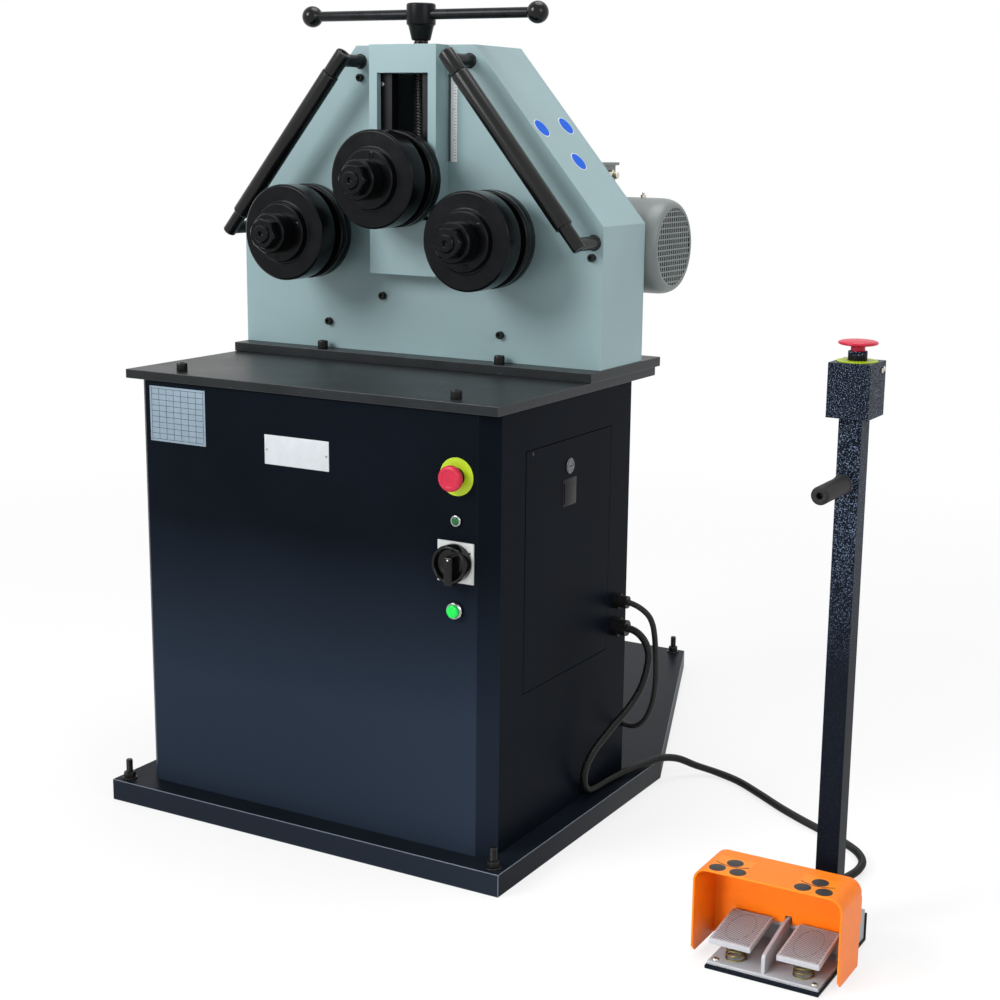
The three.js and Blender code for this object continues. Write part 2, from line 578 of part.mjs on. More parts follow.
// Gears: a pinion on the gearbox shaft drives one gear on each lower shaft
const gearFront = headFront + gears.setback;
const gearRear = gearFront + gears.thickness;
const gearAt = (teeth, phase, x, z) => prism("y", gearOutline(teeth, phase).map(([a, b]) => [a + x, b + z]),
  gearFront, gearRear);

// The pinion has a tooth gap towards the right gear, and the left gear is turned to suit the pinion
const pinionPitch = (2 * Math.PI) / gears.pinionTeeth;
const rollPitch = (2 * Math.PI) / gears.rollTeeth;
const toRight = Math.atan2(rollHeight - pinionHeight, lowerXs[1]);
const toLeft = Math.PI - toRight;
const pinionPhase = toRight + pinionPitch / 2;
const offPitches = (toLeft - pinionPhase) / pinionPitch;
const offShare = offPitches - Math.floor(offPitches);
const rightPhase = toRight + Math.PI;
const leftPhase = -toRight + (offShare + 1 / 2) * rollPitch;
for (const [name, x, phase] of [["left_gear", lowerXs[0], leftPhase],
  ["right_gear", lowerXs[1], rightPhase]]) {
  add(name, build([gearAt(gears.rollTeeth, phase, x, rollHeight)],
    [rod("y", shaftHole, gearFront - overrun, gearRear + overrun, [x, rollHeight])]), groundSteel);
}

// Worm gearbox bolted to the rear cover, and its output shaft
const gearboxFace = headRear + head.rearCover;
const motorY = gearboxFace + gearbox.axisSetback;
const motorZ = pinionHeight + gearbox.centreDistance;
const outputEnd = gearboxFace + gearbox.flangeThickness + gearbox.shaftDiameter;
add("drive_pinion", build([
  gearAt(gears.pinionTeeth, pinionPhase, 0, pinionHeight),
  rod("y", gearbox.shaftDiameter, gearFront, outputEnd, [0, pinionHeight]),
]), groundSteel);
add("gearbox_housing", build(
  [
    rod("y", gearbox.flangeDiameter, gearboxFace, gearboxFace + gearbox.flangeThickness,
      [0, pinionHeight], roundSteps),
    rod("y", gearbox.wheelDiameter, gearboxFace, motorY + gearbox.rearReach, [0, pinionHeight], roundSteps),
    rod("x", gearbox.wormDiameter, -gearbox.wormHalf, gearbox.wormHalf, [motorY, motorZ], roundSteps),
    prism("z", hexOutline(gearbox.plugAcrossFlats, [0, motorY]), motorZ,
      motorZ + gearbox.wormDiameter / 2 + gearbox.plugHeight),
  ],
  [rod("y", gearbox.shaftDiameter + 2 * gap, gearboxFace - overrun, outputEnd + gap, [0, pinionHeight])]),
    castIron);

// Motor body with its fins, flange and terminal box
const flangeEnd = gearbox.wormHalf + gap + motor.flangeThickness;
const bodyEnd = flangeEnd + motor.bodyLength;
const finOutline = Array.from({ length: motor.fins }, (unused, i) => {
  const pitch = (2 * Math.PI) / motor.fins;
  const low = motor.bodyDiameter / 2;
  const high = low + motor.finHeight;
  const half = (motor.finShare * pitch) / 2;
  return [[low, -half], [high, -half / 2], [high, half / 2], [low, half]].map(([radius, turn]) => [
    motorY + radius * Math.cos(i * pitch + turn), motorZ + radius * Math.sin(i * pitch + turn)]);
}).flat();
const terminalLeft = bodyEnd - fanCover.overlap - motor.boxLength - motor.boxInset;
const terminalTop = motorZ + motor.bodyDiameter / 2 + motor.boxHeight;
const coverStart = bodyEnd - fanCover.overlap;
add("motor_housing", build(
  [
    rod("x", motor.flangeDiameter, gearbox.wormHalf + gap, flangeEnd, [motorY, motorZ]),
    prism("x", finOutline, flangeEnd - overrun, coverStart - gap),
    rod("x", fanCover.diameter - 2 * fanCover.wall - 2 * gap, coverStart - gap, bodyEnd, [motorY, motorZ]),
    block([terminalLeft, terminalLeft + motor.boxLength],
      [motorY - motor.boxWidth / 2, motorY + motor.boxWidth / 2],
      [motorZ, terminalTop - motor.boxLid]),
    block([terminalLeft - motor.boxLid, terminalLeft + motor.boxLength + motor.boxLid],
      [motorY - motor.boxWidth / 2 - motor.boxLid, motorY + motor.boxWidth / 2 + motor.boxLid],
        [terminalTop - motor.boxLid, terminalTop]),
  ],
  [rod("x", motor.shaftDiameter + 2 * gap, bodyEnd - motor.shaftSink, bodyEnd + overrun, [motorY, motorZ],
    smallSteps)]),
castAlloy);

// Fan cover: a cup with a grille of small oblong slots
const coverEnd = coverStart + fanCover.length;
const coverRadius = fanCover.diameter / 2;
const shoulderPoints = (radius, end) => Array.from({ length: cornerSteps }, (unused, i) => {
  const angle = (i / (cornerSteps - 1)) * (Math.PI / 2);
  return [radius - fanCover.shoulderDrop * (1 - Math.cos(angle)),
    end - fanCover.shoulderLength * (1 - Math.sin(angle))];
});
const slots = [];
const columnsOut = Math.floor(fanCover.grilleRadius / fanCover.pitchAcross);
const rowsOut = Math.floor(fanCover.grilleRadius / fanCover.pitchUp);
for (let i = -columnsOut; i <= columnsOut; i += 1) {
  for (let j = -rowsOut; j <= rowsOut; j += 1) {
    const y = motorY + i * fanCover.pitchAcross;
    const z = motorZ + j * fanCover.pitchUp;
    const reach = Math.hypot(i * fanCover.pitchAcross, j * fanCover.pitchUp);
    if (reach > fanCover.grilleRadius - fanCover.slotWidth / 2) continue;
    slots.push(block([coverEnd - fanCover.wall - overrun, coverEnd + overrun],
      [y - fanCover.slotWidth / 2, y + fanCover.slotWidth / 2],
        [z - fanCover.slotHeight / 2, z + fanCover.slotHeight / 2]));
  }
}
add("fan_cover", build(
  [turned("x", [[0, coverStart], [coverRadius, coverStart],
    ...shoulderPoints(coverRadius, coverEnd), [0, coverEnd]],
    [motorY, motorZ])],
  [
    turned("x", [[0, coverStart - overrun], [coverRadius - fanCover.wall, coverStart - overrun],
      ...shoulderPoints(coverRadius - fanCover.wall, coverEnd - fanCover.wall),
      [0, coverEnd - fanCover.wall]], [motorY, motorZ]),
    ...slots,
  ]), castAlloy);

// Cooling fan on the motor shaft
const fanEnd = coverEnd - fanCover.wall - fan.endGap;
const fanStart = fanEnd - fan.thickness;
const blades = Array.from({ length: fan.blades }, (unused, i) => block(
  [fanStart, fanEnd], [-fan.bladeThickness / 2, fan.bladeThickness / 2],
    [fan.hubDiameter / 2 - overrun, fan.diameter / 2],
).rotateX((i * 2 * Math.PI) / fan.blades).translate(0, motorY, motorZ));
add("cooling_fan", build([
  rod("x", motor.shaftDiameter, bodyEnd - motor.shaftSink + gap, fanEnd, [motorY, motorZ], smallSteps),
  rod("x", fan.hubDiameter, fanStart, fanEnd, [motorY, motorZ], smallSteps),
  rod("x", fan.diameter - overrun, fanStart, fanStart + fan.backThickness, [motorY, motorZ]),
  ...blades,
]), blackPlastic);

// Guide bars: a bar between an upper and a lower arm on each slope
const barY = headFront - guide.standoff;
const upperPegHeight = headTop - guide.upperDrop;
const lowerPegHeight = plateTop + guide.lowerRise;
const run = new THREE.Vector2(guideLowerX - guideUpperX, lowerPegHeight - upperPegHeight);
const barLength = run.length();
const lean = Math.atan2(run.x, -run.y);
const onBar = (diameter, from, to) => rod("z", diameter, -to, -from, [0, 0], smallSteps);
function placed(geometry, side) {
  return geometry.rotateY(-side * lean).translate(side * guideUpperX, barY, upperPegHeight);
}
for (const [name, side] of [["left", -1], ["right", 1]]) {
  const upperCentre = [side * guideUpperX, upperPegHeight];
  const lowerCentre = [side * guideLowerX, lowerPegHeight];
  add(`${name}_upper_arm`, build([
    placed(onBar(guide.sleeveDiameter, -guide.sleeveUp, guide.sleeveDown), side),
    rod("y", guide.upperPeg, barY, headFront, upperCentre, smallSteps),
  ], [placed(onBar(guide.socketDiameter, -guide.sleeveUp - overrun, guide.socketDepth - guide.sleeveUp),
    side)]), blackOxide);
  add(`${name}_guide_bar`, build([
    placed(onBar(guide.barDiameter, guide.sleeveDown + gap, barLength - guide.endUp), side),
    placed(onBar(guide.endDiameter, barLength - guide.endUp - overrun, barLength + guide.endDown), side),
    rod("y", guide.lowerPeg, barY, headFront, lowerCentre, smallSteps),
  ]), blackOxide);
}

// Emergency stop on the cabinet
const discFace = cabinetFront - stop.discThickness;
const collarFace = discFace - stop.collarLength;
const capRear = collarFace - stop.stemGap;
const capFace = capRear - stop.capThickness;
const stopCentre = [controlX, stopHeight];
add("stop_disc", build(
  [
    rod("y", stop.discDiameter, discFace, cabinetFront, stopCentre),
    rod("y", stop.collarDiameter, collarFace, discFace + stop.discThickness / 2, stopCentre, smallSteps),
  ],
  [rod("y", stop.stemDiameter + 2 * gap, collarFace - overrun, cabinetFront + overrun, stopCentre,
    smallSteps)]), yellowPlastic);
add("stop_button", build([
  turned("y", [
    [0, capRear], [stop.capDiameter / 2 - stop.capCrown, capRear],
      [stop.capDiameter / 2, capRear - stop.capCrown],
    [stop.capDiameter / 2, capFace + stop.capCrown], [stop.capDiameter / 2 - stop.capCrown, capFace],
      [0, capFace],
  ], stopCentre),
  rod("y", stop.stemDiameter, capRear - overrun, cabinetFront + cabinet.sheet + stop.stemInside,
    stopCentre, smallSteps),
]), redPlastic);

// Indicator lamp
const lampCentre = [controlX, lampHeight];
add("indicator_lamp", build([
  rod("y", lamp.diameter, cabinetFront - lamp.bezelHeight, cabinetFront, lampCentre, smallSteps),
  rod("y", lamp.lensDiameter, cabinetFront - lamp.lensHeight, cabinetFront, lampCentre, smallSteps),
  rod("y", lamp.bodyDiameter, cabinetFront - lamp.bezelHeight / 2, cabinetFront + lamp.bodyLength,
    lampCentre, smallSteps),
]), greenPlastic);

// Rotary selector: a square plate and a round knob with a grip bar
const selectorCentre = [controlX, switchHeight];
const plateFace = cabinetFront - selector.plateThickness;
const discTop = plateFace - selector.discThickness;
add("selector_plate", build(
  [block([controlX - selector.plate / 2, controlX + selector.plate / 2], [plateFace, cabinetFront],
    [switchHeight - selector.plate / 2, switchHeight + selector.plate / 2])],
  [rod("y", selector.spindleDiameter + 2 * gap, plateFace - overrun, cabinetFront + overrun,
    selectorCentre, smallSteps)]), greyPlastic);
add("selector_knob", build([
  rod("y", selector.discDiameter, discTop, plateFace - gap, selectorCentre),
  block([controlX - selector.gripWidth / 2, controlX + selector.gripWidth / 2],
    [discTop - selector.gripHeight, discTop + overrun],
    [switchHeight - selector.gripDown, switchHeight + selector.gripUp]),
  rod("y", selector.spindleDiameter, discTop, cabinetFront + selector.spindleLength, selectorCentre,
    smallSteps),
]), blackPlastic);

// Start button: a bezel with a body behind the sheet, and the cap that travels in it
const startCentre = [controlX, startHeight];
const startFace = cabinetFront - start.bezelHeight;
const capHole = start.capDiameter + 2 * gap;
add("start_bezel", build(
  [
    rod("y", start.diameter, startFace, cabinetFront, startCentre, smallSteps),
    rod("y", start.bodyDiameter, startFace / 2 + cabinetFront / 2, cabinetFront + start.bodyLength,
      startCentre, smallSteps),
  ],
  [rod("y", capHole, startFace - overrun, cabinetFront, startCentre, smallSteps),
    rod("y", capHole / 2, cabinetFront - overrun, cabinetFront + start.capDepth, startCentre,
      smallSteps)]), greyPlastic);
add("start_button", build([
  rod("y", start.capDiameter, startFace - start.capProud, cabinetFront - start.travel - gap, startCentre,
    smallSteps),
  rod("y", start.capDiameter / 2 - gap, startFace, cabinetFront + start.capDepth - start.travel - gap,
    startCentre, smallSteps),
]), greenPlastic);

// Access door with a folded rim, hinged at its front edge
const rimOuter = [doorFront + door.rimInset, doorRear - door.rimInset];
const rimHeights = [doorBottom + door.rimInset, doorTop - door.rimInset];
const doorPanel = build(
  [
    block([doorInner, cabinetHalf], [doorFront, doorRear], [doorBottom, doorTop]),
    block([doorInner - door.rimDepth, doorInner + door.sheet / 2], rimOuter, rimHeights),
  ],
  [
    block([doorInner - door.rimDepth - overrun, doorInner],
      [rimOuter[0] + door.rimSheet, rimOuter[1] - door.rimSheet],
      [rimHeights[0] + door.rimSheet, rimHeights[1] - door.rimSheet]),
    rod("x", lock.diameter + 2 * gap, doorInner - overrun, cabinetHalf + overrun, lockCentre, smallSteps),
  ]);
const hingePinReach = door.seam + hinge.lug;
add("access_door", build([
  doorPanel,
  rod("z", hinge.pin, rimHeights[1] - door.rimSheet / 2, doorTop + hingePinReach, [hingeX, hingeY],
    smallSteps),
  rod("z", hinge.pin, doorBottom - hingePinReach, rimHeights[0] + door.rimSheet / 2, [hingeX, hingeY],
    smallSteps),
]), cabinetPaint);
add("door_lock", build([
  rod("x", lock.flange, cabinetHalf, cabinetHalf + lock.flangeThickness, lockCentre, smallSteps),
  rod("x", lock.diameter, cabinetHalf - lock.inside, cabinetHalf + lock.flangeThickness / 2, lockCentre,
    smallSteps),
  block([cabinetHalf - lock.inside, cabinetHalf - lock.inside + lock.camThickness],
    [lockCentre[0], lockCentre[0] + lock.camLength],
    [lockCentre[1] - lock.camWidth / 2, lockCentre[1] + lock.camWidth / 2]),
]), chrome);

// Switchgear on its mounting plate behind the door
const gearPlateX = cabinetHalf - gear.inset - gear.unitDepth;
const gearMiddle = doorFront + door.width / 2;
const gearBottom = doorBottom + (doorHeight - gear.plateHeight) / 2;
const units = [];
for (let row = 0; row < gear.rows; row += 1) {
  const z = gearBottom + (gear.plateHeight - (gear.rows - 1) * gear.rowPitch) / 2 + row * gear.rowPitch;
  units.push(block([gearPlateX, gearPlateX + gear.railHeight],
    [gearMiddle - gear.plateWidth / 2 + gear.railHeight,
      gearMiddle + gear.plateWidth / 2 - gear.railHeight],
    [z - gear.unitWidth / 2, z + gear.unitWidth / 2]));
  for (let i = 0; i < gear.unitsPerRow; i += 1) {
    const y = gearMiddle + (i - (gear.unitsPerRow - 1) / 2) * gear.unitPitch;
    units.push(block([gearPlateX, gearPlateX + gear.unitDepth],
      [y - gear.unitWidth / 2, y + gear.unitWidth / 2],
      [z - gear.unitHeight / 2, z + gear.unitHeight / 2]));
  }
}
add("switchgear", build([
  block([gearPlateX - gear.plateThickness, gearPlateX + overrun / 2],
    [gearMiddle - gear.plateWidth / 2, gearMiddle + gear.plateWidth / 2],
      [gearBottom, gearBottom + gear.plateHeight]),
  block([gearPlateX - gear.plateThickness, gearPlateX],
    [gearMiddle - gear.bracket / 2, gearMiddle + gear.bracket / 2],
      [base.height + cabinet.sheet, gearBottom + overrun]),
  ...units,
]), greyPlastic);

// Cable glands: a hex, a dome nut and the thread through the sheet
function glandPieces(axis, face, direction, centre, hexSize, cableHole) {
  const span = (from, to) =>
    [Math.min(face + direction * from, face + direction * to),
    Math.max(face + direction * from, face + direction * to)];
  const [hexFrom, hexTo] = span(0, gland.hexLength);
  const [domeFrom, domeTo] = span(gland.hexLength / 2, gland.hexLength + gland.domeLength);
  const [threadFrom, threadTo] = span(gland.hexLength / 2, -gland.thread);
  const [holeFrom, holeTo] = span(gland.hexLength, gland.hexLength + gland.domeLength + overrun);
  return [
    [
      prism(axis, hexOutline(hexSize, centre), hexFrom, hexTo),
      rod(axis, hexSize - overrun, domeFrom, domeTo, centre, smallSteps),
      rod(axis, gland.thread, threadFrom, threadTo, centre, smallSteps),
    ],
    [rod(axis, cableHole, holeFrom, holeTo, centre, smallSteps)],
  ];
}
const thinHole = thinCable.diameter + 2 * cableClearance;
const conduitHole = conduit.diameter + 2 * cableClearance;
add("cable_gland", build(
  ...glandPieces("x", cabinetHalf, 1, [glandY, gland.upperHeight], gland.thinHex, thinHole)),
  blackPlastic);
add("conduit_gland", build(
  ...glandPieces("x", cabinetHalf, 1, [glandY, gland.lowerHeight], gland.thickHex, conduitHole)),
  blackPlastic);

// Routes of the cables, chosen by hand. Each point is a distance from the cabinet's side, a distance from the
// side glands towards the back, and a height over the floor.
const thinRoute = [
  [13, 0, 359], [26.5, 0, 359], [40.5, 2, 355], [53, 6, 347], [61.5, 12, 335.5], [65.5, 18, 320.5],
  [66.5, 23.5, 303], [66.5, 28, 285], [66, 32.5, 263], [65, 37.5, 239.5], [63.5, 41, 215.5],
  [60.5, 43.5, 191.5], [56, 45, 169.5], [49, 45, 149], [38.5, 45.5, 132.5], [23, 48, 121.5],
  [3.5, 54.5, 117.5], [-17.5, 68.5, 118], [-38, 88, 120], [-57, 104.5, 121.5], [-77, 112.5, 122],
  [-96, 110.5, 122], [-111.5, 100.5, 122], [-121.5, 86, 122], [-125.5, 72, 122], [-126, 58, 122],
];
const conduitRoute = [
  [13, 0, 313], [26, 0, 313], [42, -1, 310], [56.5, -3.5, 301.5], [67.5, -7.5, 289],
  [73.5, -12.4, 273.5], [74, -17, 257], [71.5, -20, 240], [67.5, -24, 222.5], [62, -31, 206],
  [56, -41, 191.5], [50, -54, 178.8], [43, -73, 165.5], [36, -94, 150], [30, -112.7, 135.7],
  [24.5, -126.2, 120], [19.5, -133.5, 102], [15.5, -132.5, 82], [12.5, -123, 63.5],
  [11, -106, 49.5], [11, -83, 44.8], [13, -42, 44.3], [18, -2, 44.3], [26, 39, 44.5], [36, 78, 45],
  [48, 112, 45], [65, 144, 37], [89, 171, 20], [124, 184, 9.5], [172, 169, 7.5], [232, 129, 7.5],
  [284, 91, 7.5], [335, 58, 7.5], [387, 28, 7.5], [434, 0, 7.5], [465, -27, 7.8], [484, -60, 8.5],
  [489, -97, 9.5], [486, -137, 13], [480, -187, 20], [475, -232, 27], [472, -272, 30],
  [472, -295, 30], [472, -324, 30],
];

// The points of a smooth curve along a route, evenly spaced.
function pathOf(route, count) {
  const curve = new THREE.CatmullRomCurve3(
    route.map((point) => new THREE.Vector3(...point)), false, "centripetal");
  curve.arcLengthDivisions = count * arcDivisionsPerStep;
  return curve;
}

// The round section of a tube.
function roundSection(diameter, sides) {
  return new THREE.Shape(Array.from({ length: sides }, (unused, i) => {
    const angle = (i * 2 * Math.PI) / sides;
    return new THREE.Vector2((diameter / 2) * Math.cos(angle), (diameter / 2) * Math.sin(angle));
  }));
}

// Thin cable: a plain tube
function tube(route, diameter, sides, steps) {
  return new THREE.ExtrudeGeometry(
    roundSection(diameter, sides), { steps, extrudePath: pathOf(route, steps), bevelEnabled: false });
}
const onMachine = (route) => route.map(([x, y, z]) => [cabinetHalf + x, glandY + y, z]);
const cableStart = cabinetHalf + gland.hexLength + gap;
const thinPoints = onMachine(thinRoute);
thinPoints[0][0] = cableStart;
thinPoints[thinPoints.length - 1][1] = cabinetRear + gland.hexLength + gap;
add("thin_cable", tube(thinPoints, thinCable.diameter, cableSides, thinCable.steps), blackRubber);

// Ribbed conduit: rings of two radii outside, and a bore
const ribStats = { };
function ribbedHose(route) {
  const curve = pathOf(route, conduit.ribs);
  const length = curve.getLength();
  const sides = cableSides;
  const outside = conduit.diameter / 2;
  const valley = outside - conduit.ribDepth;
  const endShare = conduit.plainLength / length;
  const ribShare = (1 - 2 * endShare) / conduit.ribs;
  const outerStops = [[0, valley]];
  for (let i = 0; i < conduit.ribs; i += 1) {
    outerStops.push([endShare + (i + 1 / 4) * ribShare, valley],
      [endShare + (i + 3 / 4) * ribShare, outside]);
  }
  outerStops.push([1, valley]);
  const isBoreRing = (i) => i % 2 === 0 || i === outerStops.length - 1;
  const tangents = outerStops.map(([share]) => curve.getTangentAt(share));
  const turnOn = new THREE.Quaternion();
  let side = new THREE.Vector3(0, 0, 1);
  const sidesOut = tangents.map((tangent, i) => {
    if (i > 0) side = side.clone().applyQuaternion(turnOn.setFromUnitVectors(tangents[i - 1], tangent));
    side.addScaledVector(tangent, -side.dot(tangent)).normalize();
    return side;
  });
  const ringAt = (i, radius) => {
    const centre = curve.getPointAt(outerStops[i][0]);
    const top = new THREE.Vector3().crossVectors(tangents[i], sidesOut[i]);
    return Array.from({ length: sides }, (unused, k) => {
      const angle = (k * 2 * Math.PI) / sides;
      const across = sidesOut[i].clone().multiplyScalar(radius * Math.cos(angle));
      return centre.clone().add(across).addScaledVector(top, radius * Math.sin(angle));
    });
  };
  const outerRings = outerStops.map(([, radius], i) => ringAt(i, radius));
  const boreStops = outerStops.map((unused, i) => i).filter(isBoreRing);
  const boreRings = boreStops.map((i) => ringAt(i, conduit.bore / 2));
  const points = [...outerRings, ...boreRings].flat();
  const index = [];
  const quad = (a, b, c, d) => index.push(a, b, c, a, c, d);
  const ring = (k, i) => k * sides + (i % sides);
  const boreBase = outerRings.length;
  for (let i = 0; i < sides; i += 1) {
    for (let k = 0; k + 1 < outerRings.length; k += 1) quad(
      ring(k, i), ring(k, i + 1), ring(k + 1, i + 1), ring(k + 1, i));
    for (let k = boreBase; k + 1 < boreBase + boreRings.length; k += 1) quad(
      ring(k, i), ring(k + 1, i), ring(k + 1, i + 1), ring(k, i + 1));
    quad(ring(0, i), ring(boreBase, i), ring(boreBase, i + 1), ring(0, i + 1));
    const last = boreBase - 1;
    const boreLast = boreBase + boreRings.length - 1;
    quad(ring(last, i), ring(last, i + 1), ring(boreLast, i + 1), ring(boreLast, i));
  }
  ribStats.length = length;
  ribStats.leastRib = ribShare * length;
  const geometry = new THREE.BufferGeometry();
  geometry.setAttribute(
    "position", new THREE.Float32BufferAttribute(points.flatMap((point) => point.toArray()), 3));
  geometry.setIndex(index);
  return geometry;
}
const conduitPoints = onMachine(conduitRoute);
conduitPoints[0][0] = cableStart;
conduitPoints[conduitPoints.length - 1][1] =
  pedestalFront + pedestal.depth - pedestal.sheet - foot.entryDepth;
add("foot_conduit", ribbedHose(conduitPoints), blackRubber);
console.log(`conduit ${ribStats.length.toFixed(1)} mm long, one rib each ${ribStats.leastRib.toFixed(2)} mm`);

// Pedestal: floor plate with a folded rear flange, and the square post
const pedestalRight = pedestalLeft + pedestal.width;
const pedestalRear = pedestalFront + pedestal.depth;
const postX = pedestalLeft + pedestal.width / 2 + post.offset;
const postHalf = post.size / 2;
const postY = pedestalRear + postHalf;
const postInner = postHalf - post.wall;
const postFront = postY - postHalf;
const gripRear = postFront - grip.start;
const gripFront = gripRear - grip.length;
const gripCentre = [postX, post.height - grip.drop];
const conduitEntry = rod("y", conduitHole, pedestalRear - pedestal.sheet - overrun, pedestalRear + overrun,
  [pedestalLeft + foot.entryAcross, foot.entryHeight], smallSteps);
add("pedestal_stand", build(
  [
    block([pedestalLeft, pedestalRight], [pedestalFront, pedestalRear], [0, pedestal.sheet]),
    block([pedestalLeft, pedestalRight], [pedestalRear - pedestal.sheet, pedestalRear],
      [0, pedestal.flangeHeight]),
    block([postX - postHalf, postX + postHalf], [postFront - pedestal.sheet / 2, postY + postHalf],
      [0, pedestal.flangeHeight]),
    block([postX - postHalf, postX + postHalf], [postFront, postY + postHalf], [0, post.height]),
    rod("y", grip.rodDiameter, gripFront + grip.holeDepth + gap, postY, gripCentre, smallSteps),
  ],
  [
    block([postX - postInner, postX + postInner], [postY - postInner, postY + postInner],
      [-overrun, post.height - post.wall]),
    conduitEntry,
  ]), cabinetPaint);

// Rubber grip on the post's rod
add("post_grip", build(
  [
    turned("y", [
      [0, gripFront], [grip.diameter / 2 - grip.edge, gripFront],
        [grip.diameter / 2, gripFront + grip.edge],
      [grip.diameter / 2, gripRear - grip.collarLength], [grip.collar / 2, gripRear - grip.collarLength],
      [grip.collar / 2, gripRear], [0, gripRear],
    ], gripCentre, smallSteps),
  ],
  [
    rod("y", grip.rodDiameter + 2 * gap, gripFront + grip.holeDepth, gripRear + overrun, gripCentre,
      smallSteps),
    rod("y", grip.hole, gripFront - overrun, gripFront + grip.holeDepth + overrun, gripCentre, smallSteps),
  ]), blackRubber);

// Stop box on the post, with the collar that the palm button travels in
const stopBoxTop = post.height + stopBox.height;
const palmCentre = [postX, postY];
const palmCollarTop = stopBoxTop + palm.collarHeight;
const palmCapBottom = palmCollarTop + palm.stemShow;
const palmTop = palmCapBottom + palm.capHeight;
const boxHalfWidth = stopBox.width / 2;
const boxHalfDepth = stopBox.depth / 2;
add("stop_box", build(
  [
    block([postX - boxHalfWidth, postX + boxHalfWidth], [postY - boxHalfDepth, postY + boxHalfDepth],
      [post.height, stopBoxTop]),
    rod("z", palm.collarDiameter, stopBoxTop - stopBox.wall / 2, palmCollarTop, palmCentre, smallSteps),
  ],
  [
    block([postX - boxHalfWidth + stopBox.wall, postX + boxHalfWidth - stopBox.wall],
      [postY - boxHalfDepth + stopBox.wall, postY + boxHalfDepth - stopBox.wall],
      [post.height + stopBox.wall, stopBoxTop - stopBox.wall]),
    rod("z", palm.stemDiameter + 2 * gap, stopBoxTop - stopBox.wall - overrun, palmCollarTop + overrun,
      palmCentre, smallSteps),
  ]), cabinetPaint);
add("palm_button", build([
  turned("z", [
    [0, palmCapBottom], [palm.capDiameter / 2 - palm.capEdge / 2, palmCapBottom],
      [palm.capDiameter / 2, palmCapBottom + palm.capEdge / 2],
    [palm.capDiameter / 2, palmTop - palm.capEdge],
      [palm.capDiameter / 2 - palm.capEdge, palmTop - palm.capEdge / 4], [0, palmTop],
  ], palmCentre),
  rod("z", palm.stemDiameter, stopBoxTop - palm.stemInside, palmCapBottom + overrun, palmCentre,
    smallSteps),
]), redPlastic);

// Foot switch base: plate, divider, the switch housing with its lugs, and the low block behind it
const footLeft = pedestalLeft + foot.inset;
const footRight = pedestalRight - foot.inset;
const footFront = pedestalFront + foot.baseFrontInset;
const footRear = pedestalRear - pedestal.sheet - gap;
const footTop = pedestal.sheet + foot.plate;
const footMiddle = (footLeft + footRight) / 2;
const hoodFront = pedestalFront + hood.front;
const hoodRear = hoodFront + hood.depth;
const housingRear = footRear - foot.housingBack;
const housingFront = housingRear - foot.housingDepth;
const housingTop = footTop + foot.housingHeight;
const pedalFront = footFront + pedal.frontInset;
const pedalRear = pedalFront + pedal.length;
const pinY = pedalRear + pedal.pinBack;
const lugRadius = pedal.barrel / 2;
const plateMiddle = footTop - foot.plate / 2;
const lugAt = (x) => block([x - foot.lug / 2, x + foot.lug / 2], [pinY - lugRadius, housingFront + overrun],
  [plateMiddle, pedal.pinHeight + lugRadius]);
const dividerFront = footFront + foot.dividerFrontInset;
const divider = prism("x", [
  [dividerFront, plateMiddle], [housingFront + overrun, plateMiddle],
  [housingFront + overrun, footTop + foot.dividerHeight],
    [dividerFront + foot.dividerDepth, footTop + foot.dividerHeight],
  [dividerFront, footTop],
], footMiddle - foot.dividerWidth / 2, footMiddle + foot.dividerWidth / 2);
add("foot_base", build(
  [
    block([footLeft, footRight], [footFront, footRear], [pedestal.sheet, footTop]),
    block([footLeft + foot.housingInset, footRight - foot.housingInset], [housingFront, housingRear],
      [plateMiddle, housingTop]),
    block([footLeft, footRight], [housingFront, footRear], [plateMiddle, footTop + foot.rearBlockHeight]),
    divider,
    ...[footLeft + foot.lug, footRight - foot.lug].map(lugAt),
    rod("x", pedal.pinDiameter, footLeft + foot.lug, footRight - foot.lug, [pinY, pedal.pinHeight],
      smallSteps),
  ],
  [rod("y", conduitHole, footRear - foot.entryDepth, footRear + overrun,
    [pedestalLeft + foot.entryAcross, foot.entryHeight], smallSteps)]), castAlloy);

